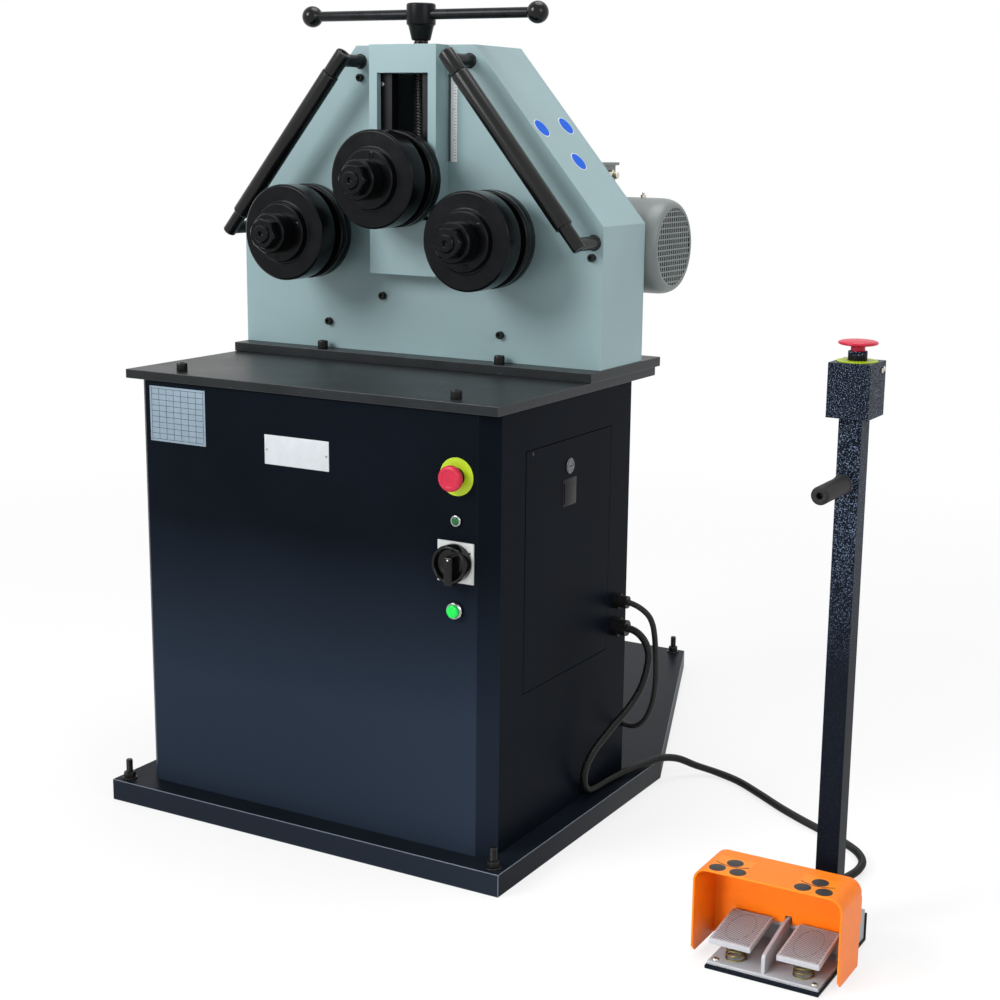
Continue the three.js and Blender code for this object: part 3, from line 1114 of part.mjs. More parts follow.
// Orange hood: a round-cornered arch with a back wall, and a lower cover behind it
const hoodLeft = pedestalLeft - hood.overLeft;
const hoodRight = pedestalRight + hood.overRight;
function archOutline(left, right, bottom, top, round) {
  const shape = new THREE.Shape();
  shape.moveTo(left, bottom);
  shape.lineTo(right, bottom);
  shape.lineTo(right, top - round);
  shape.absarc(right - round, top - round, round, 0, Math.PI / 2, false);
  shape.lineTo(left + round, top);
  shape.absarc(left + round, top - round, round, Math.PI / 2, Math.PI, false);
  return shape;
}
const rearLeft = hoodLeft + hood.rearInset;
const rearRight = hoodRight - hood.rearInset;
const chamferTool = prism("x", [
  [hoodFront - overrun, hood.bottom - overrun], [hoodFront + hood.chamfer, hood.bottom - overrun],
  [hoodFront - overrun, hood.bottom + hood.chamfer],
], hoodLeft - overrun, hoodRight + overrun);
add("foot_hood", build(
  [
    geometryOf(solid(prism(
      "y", archOutline(hoodLeft, hoodRight, hood.bottom, hood.height, hood.round), hoodFront,
      hoodRear)).subtract(
      solid(prism("y", archOutline(
        hoodLeft + hood.sheet, hoodRight - hood.sheet, hood.bottom - overrun, hood.height - hood.sheet,
        hood.round - hood.sheet), hoodFront - overrun, hoodRear - hood.sheet)))),
    geometryOf(solid(prism(
      "y", archOutline(rearLeft, rearRight, hood.rearBottom, hood.rearHeight, hood.round),
      hoodRear - hood.sheet,
      hoodRear + hood.rearDepth)).subtract(
      solid(prism("y", archOutline(
        rearLeft + hood.sheet, rearRight - hood.sheet, hood.rearBottom - overrun,
        hood.rearHeight - hood.sheet,
        hood.round - hood.sheet), hoodRear, hoodRear + hood.rearDepth - hood.sheet)))),
  ],
  [
    chamferTool,
    block([rearLeft + hood.sheet, rearRight - hood.sheet],
      [hoodRear - hood.sheet - overrun, hoodRear + overrun],
      [hood.bottom - overrun, hood.backBottom]),
  ]), orangePlastic);

// Pedals and their springs
const pedalXs = [footLeft + pedal.inset + pedal.width / 2, footRight - pedal.inset - pedal.width / 2];
for (const [name, x] of [["left_pedal", pedalXs[0]], ["right_pedal", pedalXs[1]]]) {
  add(name, build(
    [
      prism("x", [
        [pedalFront, pedal.frontTop - pedal.thickness - pedal.lipDrop],
          [pedalFront + pedal.lipLength, pedal.frontTop - pedal.thickness - pedal.lipDrop],
        [pedalFront + pedal.lipLength, pedal.frontTop - pedal.thickness],
          [pedalRear, pedal.rearTop - pedal.thickness],
        [pedalRear, pedal.rearTop], [pedalFront, pedal.frontTop],
      ], x - pedal.width / 2, x + pedal.width / 2),
      prism("x", [
        [pedalRear - pedal.pinBack, pedal.rearTop - pedal.thickness - overrun],
          [pinY, pedal.pinHeight - lugRadius],
        [pinY, pedal.pinHeight + lugRadius], [pedalRear - overrun, pedal.rearTop - overrun],
          [pedalRear - pedal.pinBack, pedal.rearTop - pedal.thickness / 2],
      ], x - pedal.armWidth / 2, x + pedal.armWidth / 2),
      rod("x", pedal.barrel, x - pedal.armWidth / 2, x + pedal.armWidth / 2, [pinY, pedal.pinHeight],
        smallSteps),
    ],
    [rod("x", pedal.pinDiameter + 2 * gap, x - pedal.width, x + pedal.width, [pinY, pedal.pinHeight],
      smallSteps)]), castAlloy);
}

// Pedal springs: a tapered coil in one unbroken tube
class SpringCurve extends THREE.Curve {
  constructor(x, y, bottom, top) {
    super();
    Object.assign(this, { x, y, bottom, top });
  }

  getPoint(t, target = new THREE.Vector3()) {
    const angle = t * spring.turns * 2 * Math.PI;
    const radius = spring.bottomRadius + (spring.topRadius - spring.bottomRadius) * t;
    return target.set(this.x + radius * Math.cos(angle), this.y + radius * Math.sin(angle),
      this.bottom + (this.top - this.bottom) * t);
  }
}
const springY = pedalFront + spring.fromFront;
const wireHalf = spring.wire / 2;
const pedalSlope = (pedal.rearTop - pedal.frontTop) / (pedal.length - pedal.lipLength);
const springClear = spring.fromFront - spring.topRadius - wireHalf - pedal.lipLength;
const pedalUnderside = pedal.frontTop - pedal.thickness + springClear * pedalSlope;
const springBottom = footTop + wireHalf + gap;
const springTop = pedalUnderside - wireHalf - gap;
for (const [name, x] of [["left_spring", pedalXs[0]], ["right_spring", pedalXs[1]]]) {
  add(name, new THREE.ExtrudeGeometry(roundSection(spring.wire, spring.wireSides), {
    steps: spring.turns * spring.stepsPerTurn,
      extrudePath: new SpringCurve(x, springY, springBottom, springTop), bevelEnabled: false }), zinc);
}
const springLeast = (springTop - springBottom) / spring.turns - spring.wire;
console.log(`pedal springs: ${springLeast.toFixed(2)} mm between turns`);

export default machine;
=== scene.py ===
# %% [markdown]
# # A three-roll ring roller
# The machine bends flat bars, tubes and sections into rings. Its plain solids come packed as a frame. This
# lesson dresses that frame: it keeps every place and every joint, and gives each piece its real edges,
# threads, ribs and finish. Lengths are written in millimetres, and Blender's own unit is the metre.

# %% Load the frame
import math

import bmesh
import bpy
from mathutils import Matrix, Vector


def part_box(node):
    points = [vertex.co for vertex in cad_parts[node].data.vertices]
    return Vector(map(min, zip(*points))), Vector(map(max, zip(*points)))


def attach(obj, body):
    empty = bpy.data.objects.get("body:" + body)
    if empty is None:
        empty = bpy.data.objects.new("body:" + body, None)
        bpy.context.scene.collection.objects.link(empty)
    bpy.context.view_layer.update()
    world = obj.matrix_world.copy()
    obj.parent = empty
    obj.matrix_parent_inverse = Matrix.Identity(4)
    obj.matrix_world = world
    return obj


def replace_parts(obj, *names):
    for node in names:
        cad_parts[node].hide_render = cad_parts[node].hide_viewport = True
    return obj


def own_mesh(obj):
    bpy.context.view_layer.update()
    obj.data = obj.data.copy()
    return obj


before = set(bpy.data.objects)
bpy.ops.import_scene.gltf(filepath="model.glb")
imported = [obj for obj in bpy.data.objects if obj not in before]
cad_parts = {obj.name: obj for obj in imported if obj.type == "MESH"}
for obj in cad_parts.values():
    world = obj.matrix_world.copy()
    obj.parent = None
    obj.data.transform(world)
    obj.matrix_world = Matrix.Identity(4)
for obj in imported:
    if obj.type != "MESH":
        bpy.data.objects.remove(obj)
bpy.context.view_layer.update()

MM = 0.001


def box_mm(node):
    """The lowest and highest corner of a node, in millimetres."""
    return [[value / MM for value in corner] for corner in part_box(node)]


def middle(node, axis):
    """The middle of a node along an axis, which is 0, 1 or 2."""
    low, high = box_mm(node)
    return (low[axis] + high[axis]) / 2


# %% [markdown]
# ## The camera
# A catalogue picture is taken from a little above, through a fairly long lens, so that upright edges stay
# nearly upright. The place and the turn below were solved from the straight edges of the cabinet. A small
# shift puts the picture's middle where the lens pointed, which keeps the perspective as it was.

# %% Camera
PICTURE = 1000
FOCAL_PIXELS = 1738.5
SENSOR = 36.0
CAMERA_PLACE = Vector((1625.8, -2418.6, 1155.3)) * MM
YAW, PITCH, ROLL = (math.radians(turn) for turn in (28.991, 12.165, -0.827))
MIDDLE_PIXEL = (531.85, 501.95)

forward = Vector((-math.sin(YAW) * math.cos(PITCH), math.cos(YAW) * math.cos(PITCH), -math.sin(PITCH)))
level = Vector((math.cos(YAW), math.sin(YAW), 0))
down = forward.cross(level)
right_axis = math.cos(ROLL) * level + math.sin(ROLL) * down
down_axis = -math.sin(ROLL) * level + math.cos(ROLL) * down
lens = bpy.data.cameras.new("lens")
lens.sensor_width = SENSOR
lens.lens = FOCAL_PIXELS * SENSOR / PICTURE
lens.shift_x = (PICTURE / 2 - MIDDLE_PIXEL[0]) / PICTURE
lens.shift_y = (MIDDLE_PIXEL[1] - PICTURE / 2) / PICTURE
camera = bpy.data.objects.new("camera", lens)
turn = Matrix((right_axis, -down_axis, -forward)).transposed()
camera.matrix_world = Matrix.Translation(CAMERA_PLACE) @ turn.to_4x4()
bpy.context.collection.objects.link(camera)
bpy.context.scene.camera = camera
bpy.context.scene.view_settings.view_transform = "Standard"
print("lens", round(lens.lens, 1), "mm")

# %% [markdown]
# ## Making one mesh out of simple solids
# Most pieces are a few turned, bevelled or extruded solids. `Shape` gathers them in one mesh: `turned` spins
# a line round an axis, `block` is a box with rounded edges, `prism` extrudes an outline, and `tube` follows a
# line. A sharp corner in a turned line is cut off by a small arc, because real edges are never perfectly
# sharp and catch a line of light. A turned solid, a tube, a thread and a nut all get their faces from
# `skin`, which joins one ring of points to the next.

# %% Shape
AXES = {"x": Matrix(((0, 0, 1), (1, 0, 0), (0, 1, 0))),
        "y": Matrix(((0, 1, 0), (0, 0, 1), (1, 0, 0))),
        "z": Matrix.Identity(3)}
ON_AXIS, SHORTEST_ARC, SHARE_OF_EDGE, SHARP_ANGLE = 0.01, 0.02, 0.45, 38


def circle(steps):
    """The points of a circle with a radius of 1."""
    return [(math.cos(i * math.tau / steps), math.sin(i * math.tau / steps)) for i in range(steps)]


def eased(line, radius, steps=3):
    """Rounds the inner points of a line of (radius, along) points."""
    points = [Vector(line[0])]
    for before, here, after in zip(line, line[1:], line[2:]):
        before, here, after = Vector(before), Vector(here), Vector(after)
        back, ahead = before - here, after - here
        reach = min(radius, back.length * SHARE_OF_EDGE, ahead.length * SHARE_OF_EDGE)
        if reach < SHORTEST_ARC or here.x < ON_AXIS:
            points.append(here)
            continue
        start, end = here + back.normalized() * reach, here + ahead.normalized() * reach
        for i in range(steps + 1):
            t = i / steps
            points.append(start * (1 - t) ** 2 + here * 2 * t * (1 - t) + end * t ** 2)
    points.append(Vector(line[-1]))
    return points


class Shape:
    """Gathers simple closed solids, in millimetres, and turns them into one piece."""

    def __init__(self):
        self.mesh = bmesh.new()

    def put(self, points, faces, finish=0):
        made = [self.mesh.verts.new(point) for point in points]
        for face in faces:
            self.mesh.faces.new([made[i] for i in face]).material_index = finish
        return made

    def solid(self, points, faces, finish=0, turn=AXES["z"], centre=(0, 0, 0)):
        """Puts a closed solid in place and turns all its faces outward."""
        made = self.put([turn @ Vector(point) + Vector(centre) for point in points], faces, finish)
        sides = {face for vert in made for face in vert.link_faces}
        bmesh.ops.recalc_face_normals(self.mesh, faces=list(sides))
        return made

    def skin(self, rings, finish=0, turn=AXES["z"], centre=(0, 0, 0), closed=False):
        """Joins rings of points, some of which may be one point, and ends in caps unless it is closed."""
        count = max(len(ring) for ring in rings)
        points, rows, faces = [], [], []
        for ring in rings:
            rows.append([len(points) + (i if len(ring) > 1 else 0) for i in range(count)])
            points += ring
        for low, high in zip(rows, rows[1:] + rows[:1] if closed else rows[1:]):
            for i in range(count):
                j = (i + 1) % count
                face = list(dict.fromkeys((low[i], low[j], high[j], high[i])))
                if len(face) > 2:
                    faces.append(face)
        if not closed:
            faces += [row for row in (rows[0], rows[-1]) if row[0] != row[1]]
        self.solid(points, faces, finish, turn, centre)
        return self

    def turned(self, line, axis="y", centre=(0, 0, 0), steps=72, ease=0.8, finish=0, turn=None, bore=0):
        """Spins a line of (radius, along) points. Its ends are led to the axis, or to the wall of a bore."""
        (start, first), (end, last) = line[0], line[-1]
        inside = bore + ON_AXIS
        line = [(bore, first)] * (start > inside) + list(line) + [(bore, last)] * (end > inside)
        if bore:
            line.append(line[0])
        line = eased(line, ease) if ease else line
        rings = [[(radius * a, radius * b, along) for a, b in circle(steps)] if radius >= ON_AXIS
                 else [(0, 0, along)] for radius, along in (line[:-1] if bore else line)]
        return self.skin(rings, finish, turn if turn else AXES[axis], centre, closed=bool(bore))

    def rod(self, diameter, low, high, axis="y", centre=(0, 0, 0), steps=48, ease=0.6, finish=0):
        return self.turned([(diameter / 2, low), (diameter / 2, high)], axis, centre, steps, ease, finish)

    def prism(self, outline, axis, low, high, ease=0.6, finish=0, segments=2):
        """Extrudes an outline. Along x it is in y and z, along y in x and z, along z in x and y."""
        at = {"x": lambda a, b, c: (c, a, b), "y": lambda a, b, c: (a, c, b), "z": lambda a, b, c: (a, b, c)}
        count = len(outline)
        points = [at[axis](a, b, c) for c in (low, high) for a, b in outline]
        faces = [list(range(count)), list(range(count, 2 * count))]
        faces += [[i, (i + 1) % count, count + (i + 1) % count, count + i] for i in range(count)]
        made = self.solid(points, faces, finish)
        if ease:
            edges = {edge for vert in made for edge in vert.link_edges}
            bmesh.ops.bevel(self.mesh, geom=list(edges), offset=ease, segments=segments, affect="EDGES",
                            profile=0.6, clamp_overlap=True, material=finish)
        return self

    def block(self, low, high, ease=0.8, finish=0, segments=2):
        outline = [(low[0], low[1]), (high[0], low[1]), (high[0], high[1]), (low[0], high[1])]
        return self.prism(outline, "z", low[2], high[2], ease, finish, segments)

    def tube(self, line, radii, sides=14, finish=0):
        """A closed tube along a line of points, with one radius for each point, or one for all."""
        radii = radii if isinstance(radii, list) else [radii] * len(line)
        rings, side = [], None
        for i, here in enumerate(line):
            ahead = (line[min(i + 1, len(line) - 1)] - line[max(i - 1, 0)]).normalized()
            side = side or Vector((0, 0, 1)).cross(ahead) or Vector((1, 0, 0))
            side = (side - ahead * side.dot(ahead)).normalized()
            top = ahead.cross(side)
            rings.append([here + radii[i] * (side * a + top * b) for a, b in circle(sides)])
        return self.skin(rings, finish)

    def bare(self, name, finishes, crease=SHARP_ANGLE):
        """Makes the object, smooth except where two faces meet at more than the crease angle."""
        for face in self.mesh.faces:
            face.smooth = True
        for edge in self.mesh.edges:
            edge.smooth = len(edge.link_faces) == 2 and edge.calc_face_angle(0) < math.radians(crease)
        for vert in self.mesh.verts:
            vert.co *= MM
        data = bpy.data.meshes.new(name)
        self.mesh.to_mesh(data)
        self.mesh.free()
        for finish in finishes if isinstance(finishes, list) else [finishes]:
            data.materials.append(finish)
        piece = bpy.data.objects.new(name, data)
        bpy.context.collection.objects.link(piece)
        return piece

    def done(self, name, body, slot, finishes, stands_for=None, crease=SHARP_ANGLE):
        """Makes a piece that rides on a body, and that may stand for a node of the frame. Its slot is not
        used.
        """
        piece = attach(self.bare(name, finishes, crease), body)
        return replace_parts(piece, stands_for) if stands_for else piece


print("shapes ready")

# %% [markdown]
# ## Sums on sockets
# A node tree is easier to read as a sum. `Socket` wraps one output of a node, so `1 - mask` adds the Math
# node that it stands for. `new` makes any other node: first its settings, then the values or links of its
# sockets.

# %% Socket


class Socket:
    """One output of a node that can be used in Python sums."""

    def __init__(self, tree, link=None):
        self.tree, self.link = tree, link

    def new(self, kind, settings=None, values=None, out=0):
        node = self.tree.nodes.new("ShaderNode" + kind)
        for name, value in (settings or {}).items():
            setattr(node, name, value)
        for name, value in (values or {}).items():
            if isinstance(value, Socket):
                self.tree.links.new(value.link, node.inputs[name])
            else:
                node.inputs[name].default_value = value
        return Socket(self.tree, node.outputs[out] if node.outputs else None)

    def math(self, operation, *terms):
        return self.new("Math", {"operation": operation}, dict(enumerate(terms)))

    def __add__(self, other):
        return self.math("ADD", self, other)

    def __sub__(self, other):
        return self.math("SUBTRACT", self, other)

    def __rsub__(self, other):
        return self.math("SUBTRACT", other, self)

    def __mul__(self, other):
        return self.math("MULTIPLY", self, other)

    __radd__, __rmul__ = __add__, __mul__

    def vector(self, operation, other):
        return self.new("VectorMath", {"operation": operation}, {0: self, 1: other})

    def part(self, axis):
        """One of the three numbers of a place or direction."""
        return self.new("SeparateXYZ", {}, {0: self}, axis)

    def between(self, low, high, to_low=0.0, to_high=1.0):
        """Stretches a range of this value to another range and stops at its ends."""
        return self.new("MapRange", {"clamp": True}, {"Value": self, "From Min": low, "From Max": high,
                                                      "To Min": to_low, "To Max": to_high})

    def mix(self, first, second):
        """A colour between two colours, with this value as the share of the second."""
        return self.new("Mix", {"data_type": "RGBA"}, {0: self, 6: first, 7: second}, out=2)

    def noise(self, scale, detail=2.0, rough=0.5, stretch=None):
        place = self.vector("MULTIPLY", stretch) if stretch else self
        return place.new("TexNoise", {}, {"Vector": place, "Scale": scale, "Detail": detail,
                                          "Roughness": rough})


def rgb(*steps):
    """The linear colour of a colour written in steps of 0 to 255."""
    return tuple(((c / 255 + 0.055) / 1.055) ** 2.4 if c > 10 else c / 255 / 12.92 for c in steps) + (1.0,)


def times(colour, share):
    return tuple(min(1.0, c * share) for c in colour[:3]) + (1.0,)


class Finish:
    """A material with one Principled shader, the place on the surface, and a way to feed the shader."""

    def __init__(self, name, colour, rough, metal=0.0, **fixed):
        self.material = bpy.data.materials.new(name)
        self.material.use_nodes = True
        self.shader = self.material.node_tree.nodes["Principled BSDF"]
        self.place = Socket(self.material.node_tree).new("TexCoord", out=3)
        self.feed("Base Color", colour)
        self.feed("Roughness", rough)
        self.feed("Metallic", metal)
        for socket, value in fixed.items():
            self.feed(socket.replace("_", " "), value)

    def feed(self, socket, value):
        if isinstance(value, Socket):
            self.material.node_tree.links.new(value.link, self.shader.inputs[socket])
        else:
            self.shader.inputs[socket].default_value = value

    def bump(self, height, depth, strength=0.5):
        """Feeds a height, in shares of a depth in metres, to the shader's normal."""
        self.feed("Normal", height.new("Bump", {}, {"Strength": strength, "Distance": depth,
                                                    "Height": height}))


print("sockets ready")

# %% [markdown]
# ## The finishes
# Spray paint is never quite flat: it has a fine orange peel, which breaks up the reflections, and a little
# dust and handling change its gloss. So each paint varies its colour by a few parts in a hundred, its
# roughness more than that, and its height by some hundredths of a millimetre. The dark sheet steel has a
# painted highlight: its front faces are paler low down, in place of a lamp's soft reflection. The hammered
# paint has pale specks, which thin out towards the floor.

# %% Paints
HIGHLIGHT_HEIGHTS, HIGHLIGHT_FACING, SPECKS, SPECK_HEIGHT = (0.52, 0.24), (-0.4, -0.9), (0.56, 0.66), (0.4, 0.62)


def paint(name, colour, rough, peel=0.00005, peel_scale=420, vary=0.06, grime=0.08, speck=None, shine=0.5,
          painted_front_highlight=None):
    finish = Finish(name, colour, rough, Specular_IOR_Level=shine)
    cloud = finish.place.noise(5, 4, 0.6)
    fine = finish.place.noise(90, 3, 0.6)
    shade = cloud.between(0.3, 0.7).mix(times(colour, 1 - vary), times(colour, 1 + vary))
    height = finish.place.noise(peel_scale, 2, 0.5)
    above_floor = finish.place.part(2)
    # Painted highlight: faces that look forward get a paler colour low down, standing in for a lamp's soft
    # reflection.
    if painted_front_highlight:
        front = finish.place.new("NewGeometry", out=1).part(1).between(*HIGHLIGHT_FACING)
        shade = (above_floor.between(*HIGHLIGHT_HEIGHTS) * front).mix(shade, painted_front_highlight)
    if speck:
        spots = finish.place.noise(620, 2, 0.6).between(*SPECKS) * above_floor.between(*SPECK_HEIGHT, 0.04, 1)
        shade = spots.mix(shade, speck)
        height = height + 0.6 * spots
    finish.feed("Base Color", shade)
    finish.feed("Roughness", rough + grime * (cloud - 0.5) + 0.6 * grime * (fine - 0.5))
    finish.bump(height, peel, 0.6)
    return finish.material


head_paint = paint("pale_green_paint", rgb(138, 164, 168), 0.42, peel=0.00004)
# The cabinet and tray paints carry a painted highlight, paler low on their fronts.
cabinet_paint = paint("blue_black_paint", rgb(13, 18, 25), 0.36, peel=0.00003, vary=0.18, grime=0.12,
                      shine=0.015, painted_front_highlight=rgb(36, 45, 58))
tray_paint = paint("tray_paint", rgb(20, 25, 32), 0.34, peel=0.00003, vary=0.18, grime=0.12, shine=0.03,
                   painted_front_highlight=rgb(31, 37, 46))
# Partly worn paint and partly a painted highlight: a paler line of light along the cabinet's and door's
# rounded edges.
worn_and_glint_paint = paint("worn_and_glint_corner_paint", rgb(34, 42, 52), 0.4, shine=0.05)
# Partly bare worn metal and partly a painted glint: a thin bright line along the tray's rounded edges.
tray_edge_wear_glint = paint("tray_edge_wear_glint_paint", rgb(104, 112, 124), 0.4, shine=0.12)
hammered_paint = paint("hammered_black_paint", rgb(15, 20, 28), 0.34, peel=0.00012, peel_scale=700,
                       speck=rgb(124, 140, 168), shine=0.03)
casting_paint = paint("grey_casting_paint", rgb(78, 86, 92), 0.5, peel=0.0002, peel_scale=260)
silver_paint = paint("silver_motor_paint", rgb(112, 120, 119), 0.4, peel=0.00012, peel_scale=500)
pedal_paint = paint("grey_pedal_paint", rgb(158, 160, 165), 0.45, peel=0.00015, peel_scale=600)
groove_paint = paint("pedal_groove_paint", rgb(112, 108, 112), 0.6, shine=0.2)
print("paints", len(bpy.data.materials))

# %% [markdown]
# Bare metal shows how it was made. Ground plates carry fine parallel scratches, turned pieces carry rings
# around their axis, and black oxide has a soft, oily gloss with cloudy patches. The rings come from a noise
# that depends only on the distance to the axis and on the place along it.

# %% Metals
EVEN, LENGTHWISE, UPRIGHT, SCRATCH = (1, 1, 1), (1, 0.04, 1), (1, 1, 0.04), 0.16


def ground(name, colour, rough, metal=0.9, along=LENGTHWISE, worn=None):
    finish = Finish(name, colour, rough, metal)
    lines = finish.place.noise(700, 3, 0.6, stretch=along)
    cloud = finish.place.noise(9, 5, 0.6)
    shade = (0.5 * lines + 0.5 * cloud).between(0.35, 0.65)
    shade = shade.mix(times(colour, 0.75), times(colour, 1.5))
    if worn:
        marks = finish.place.noise(240, 4, 0.75, stretch=(0.25, 1, 1)).between(0.63, 0.72)
        shade = marks.mix(shade, worn)
    finish.feed("Base Color", shade)
    finish.feed("Roughness", rough + SCRATCH * (lines - 0.5) + SCRATCH * (cloud - 0.5))
    finish.bump(lines, 0.00003)
    return finish.material


def turned_steel(name, colour, rough, centre=None, axis="y", metal=0.85, depth=0.00003):
    """Rings around an axis through a centre in millimetres, or through the object's own place."""
    finish = Finish(name, colour, rough, metal, Specular_IOR_Level=0.22)
    place = finish.place.vector("SUBTRACT", [c * MM for c in centre]) if centre else finish.place
    along, across, up = (place.part(k) for k in {"x": (0, 1, 2), "y": (1, 0, 2), "z": (2, 0, 1)}[axis])
    radius = (across * across + up * up).math("SQRT", across * across + up * up)
    rings = radius.new("CombineXYZ", {}, {0: radius, 1: along}).noise(2600, 2, 0.7)
    cloud = finish.place.noise(26, 4, 0.65)
    shade = (0.35 * rings + 0.65 * cloud).between(0.35, 0.68)
    finish.feed("Base Color", shade.mix(times(colour, 0.7), times(colour, 1.8)))
    finish.feed("Roughness", rough + 0.14 * (rings - 0.5) + 0.22 * (cloud - 0.5))
    finish.bump(rings, depth)
    return finish.material


plate_steel = ground("blackened_plate", rgb(33, 36, 38), 0.42, 0.75, worn=rgb(80, 82, 82))
worn_edge = ground("worn_edge", rgb(58, 60, 62), 0.42, 0.8)
way_steel = ground("way_steel", rgb(34, 34, 36), 0.35, 0.8, along=UPRIGHT)
bright_steel = ground("bright_steel", rgb(150, 150, 152), 0.28, 0.95)
zinc_steel = ground("zinc_wire", rgb(190, 186, 170), 0.3, 0.95, along=EVEN)
yellow_zinc = ground("yellow_zinc_wire", rgb(118, 108, 66), 0.34, 0.95, along=EVEN)
black_bolt = ground("black_bolt", rgb(30, 30, 31), 0.4, 0.7, along=EVEN)
bronze = ground("nut_bronze", rgb(150, 110, 60), 0.35, 0.95, along=EVEN)
chrome = Finish("ring_chrome", rgb(168, 170, 173), 0.14, 1.0).material
dark_chrome = Finish("lock_chrome", rgb(96, 98, 102), 0.2, 1.0).material
print("metals", len(bpy.data.materials))

# %% [markdown]
# Moulded plastic and rubber are plain colours, so their light comes from gloss. A very fine grain keeps the
# gloss from looking like glass.

# %% Plastics


def plastic(name, colour, rough, grain=0.00001, scale=1400, shine=0.3, **fixed):
    finish = Finish(name, colour, rough, Specular_IOR_Level=shine, **fixed)
    cloud = finish.place.noise(60, 3, 0.6)
    finish.feed("Base Color", cloud.between(0.3, 0.7).mix(times(colour, 0.92), colour))
    finish.feed("Roughness", rough + 0.1 * (cloud - 0.5))
    finish.bump(finish.place.noise(scale, 2, 0.5), grain)
    return finish.material


gloss_black = plastic("gloss_black", rgb(10, 10, 11), 0.16, shine=0.2, Coat_Weight=0.12)
satin_black = plastic("satin_black", rgb(14, 14, 15), 0.34, shine=0.12)
black_rubber = plastic("black_rubber", rgb(24, 24, 26), 0.62, 0.00004, 700)
conduit_black = plastic("conduit_black", rgb(16, 17, 18), 0.36, shine=0.2)
orange_guard = plastic("orange_guard", rgb(244, 122, 14), 0.4, 0.00005, 500, shine=0.2)
sign_orange = plastic("sign_orange", rgb(240, 132, 24), 0.36, shine=0.2)
stop_red = plastic("stop_red", rgb(192, 32, 62), 0.36)
signal_yellow = plastic("signal_yellow", rgb(178, 206, 38), 0.42)
lamp_green = plastic("lamp_green", rgb(4, 92, 38), 0.2, Coat_Weight=0.2)
button_green = plastic("button_green", rgb(14, 214, 78), 0.28)
plate_grey = plastic("plate_grey", rgb(196, 199, 198), 0.4)
label_blue = plastic("label_blue", rgb(0, 92, 212), 0.45, shine=0.1)
label_white = plastic("label_white", rgb(232, 234, 236), 0.38)
mark_black = plastic("mark_black", rgb(34, 32, 30), 0.45)
chart_silver = plastic("chart_silver", rgb(136, 154, 168), 0.35, Metallic=0.4)
name_silver = plastic("name_silver", rgb(200, 206, 210), 0.35, Metallic=0.3)
print("plastics", len(bpy.data.materials))

# %% [markdown]
# ## The two cables
# A thin cable leaves the upper gland, hangs behind the cabinet's side and goes back in at the rear. A ribbed
# conduit leaves the lower gland, drops over the base tray and crosses the floor to the foot switch. Both
# follow one smooth curve through listed points. The curve is a centripetal one, because
# that kind never loops or overshoots between uneven points.

# %% Cables
FINE_STEPS = 24


def smooth_line(route, spacing):
    """Evenly spaced points on a centripetal curve through the route, and its length."""
    knots = [Vector(point) for point in route]
    knots = [2 * knots[0] - knots[1], *knots, 2 * knots[-1] - knots[-2]]
    dense = []
    for p0, p1, p2, p3 in zip(knots, knots[1:], knots[2:], knots[3:]):
        d0, d1, d2 = (math.sqrt((b - a).length) for a, b in ((p0, p1), (p1, p2), (p2, p3)))
        start = ((p1 - p0) / d0 - (p2 - p0) / (d0 + d1) + (p2 - p1) / d1) * d1
        end = ((p2 - p1) / d1 - (p3 - p1) / (d1 + d2) + (p3 - p2) / d2) * d1
        for i in range(FINE_STEPS):
            t = i / FINE_STEPS
            dense.append(p1 + start * t + (3 * (p2 - p1) - 2 * start - end) * t ** 2
                         + (2 * (p1 - p2) + start + end) * t ** 3)
    dense.append(knots[-2])
    reach = [0.0]
    for a, b in zip(dense, dense[1:]):
        reach.append(reach[-1] + (b - a).length)
    count = round(reach[-1] / spacing)
    points, k = [], 0
    for i in range(count + 1):
        wanted = reach[-1] * i / count
        while k < len(dense) - 2 and reach[k + 1] < wanted:
            k += 1
        points.append(dense[k].lerp(dense[k + 1], (wanted - reach[k]) / (reach[k + 1] - reach[k])))
    return points, reach[-1]


SIDE = box_mm("access_door")[1][0]
GLAND_Y = middle("cable_gland", 1)
THIN, THIN_STEP, CONDUIT, RIB = 10.0, 6, 13.5, 3.4
RIB_DEPTHS = (0.0, 0.25, 0.95, 0.8)
thin_route = [
    (13, 0, 359), (26.5, 0, 359), (40.5, 2, 355), (53, 6, 347), (61.5, 12, 335.5),
    (65.5, 18, 320.5), (66.5, 23.5, 303), (66.5, 28, 285), (66, 32.5, 263), (65, 37.5, 239.5),
    (63.5, 41, 215.5), (60.5, 43.5, 191.5), (56, 45, 169.5), (49, 45, 149), (38.5, 45.5, 132.5),
    (23, 48, 121.5), (3.5, 54.5, 117.5), (-17.5, 68.5, 118), (-38, 88, 120), (-57, 104.5, 121.5),
    (-77, 112.5, 122), (-96, 110.5, 122), (-111.5, 100.5, 122), (-121.5, 86, 122),
    (-125.5, 72, 122), (-126, 58, 122),
]
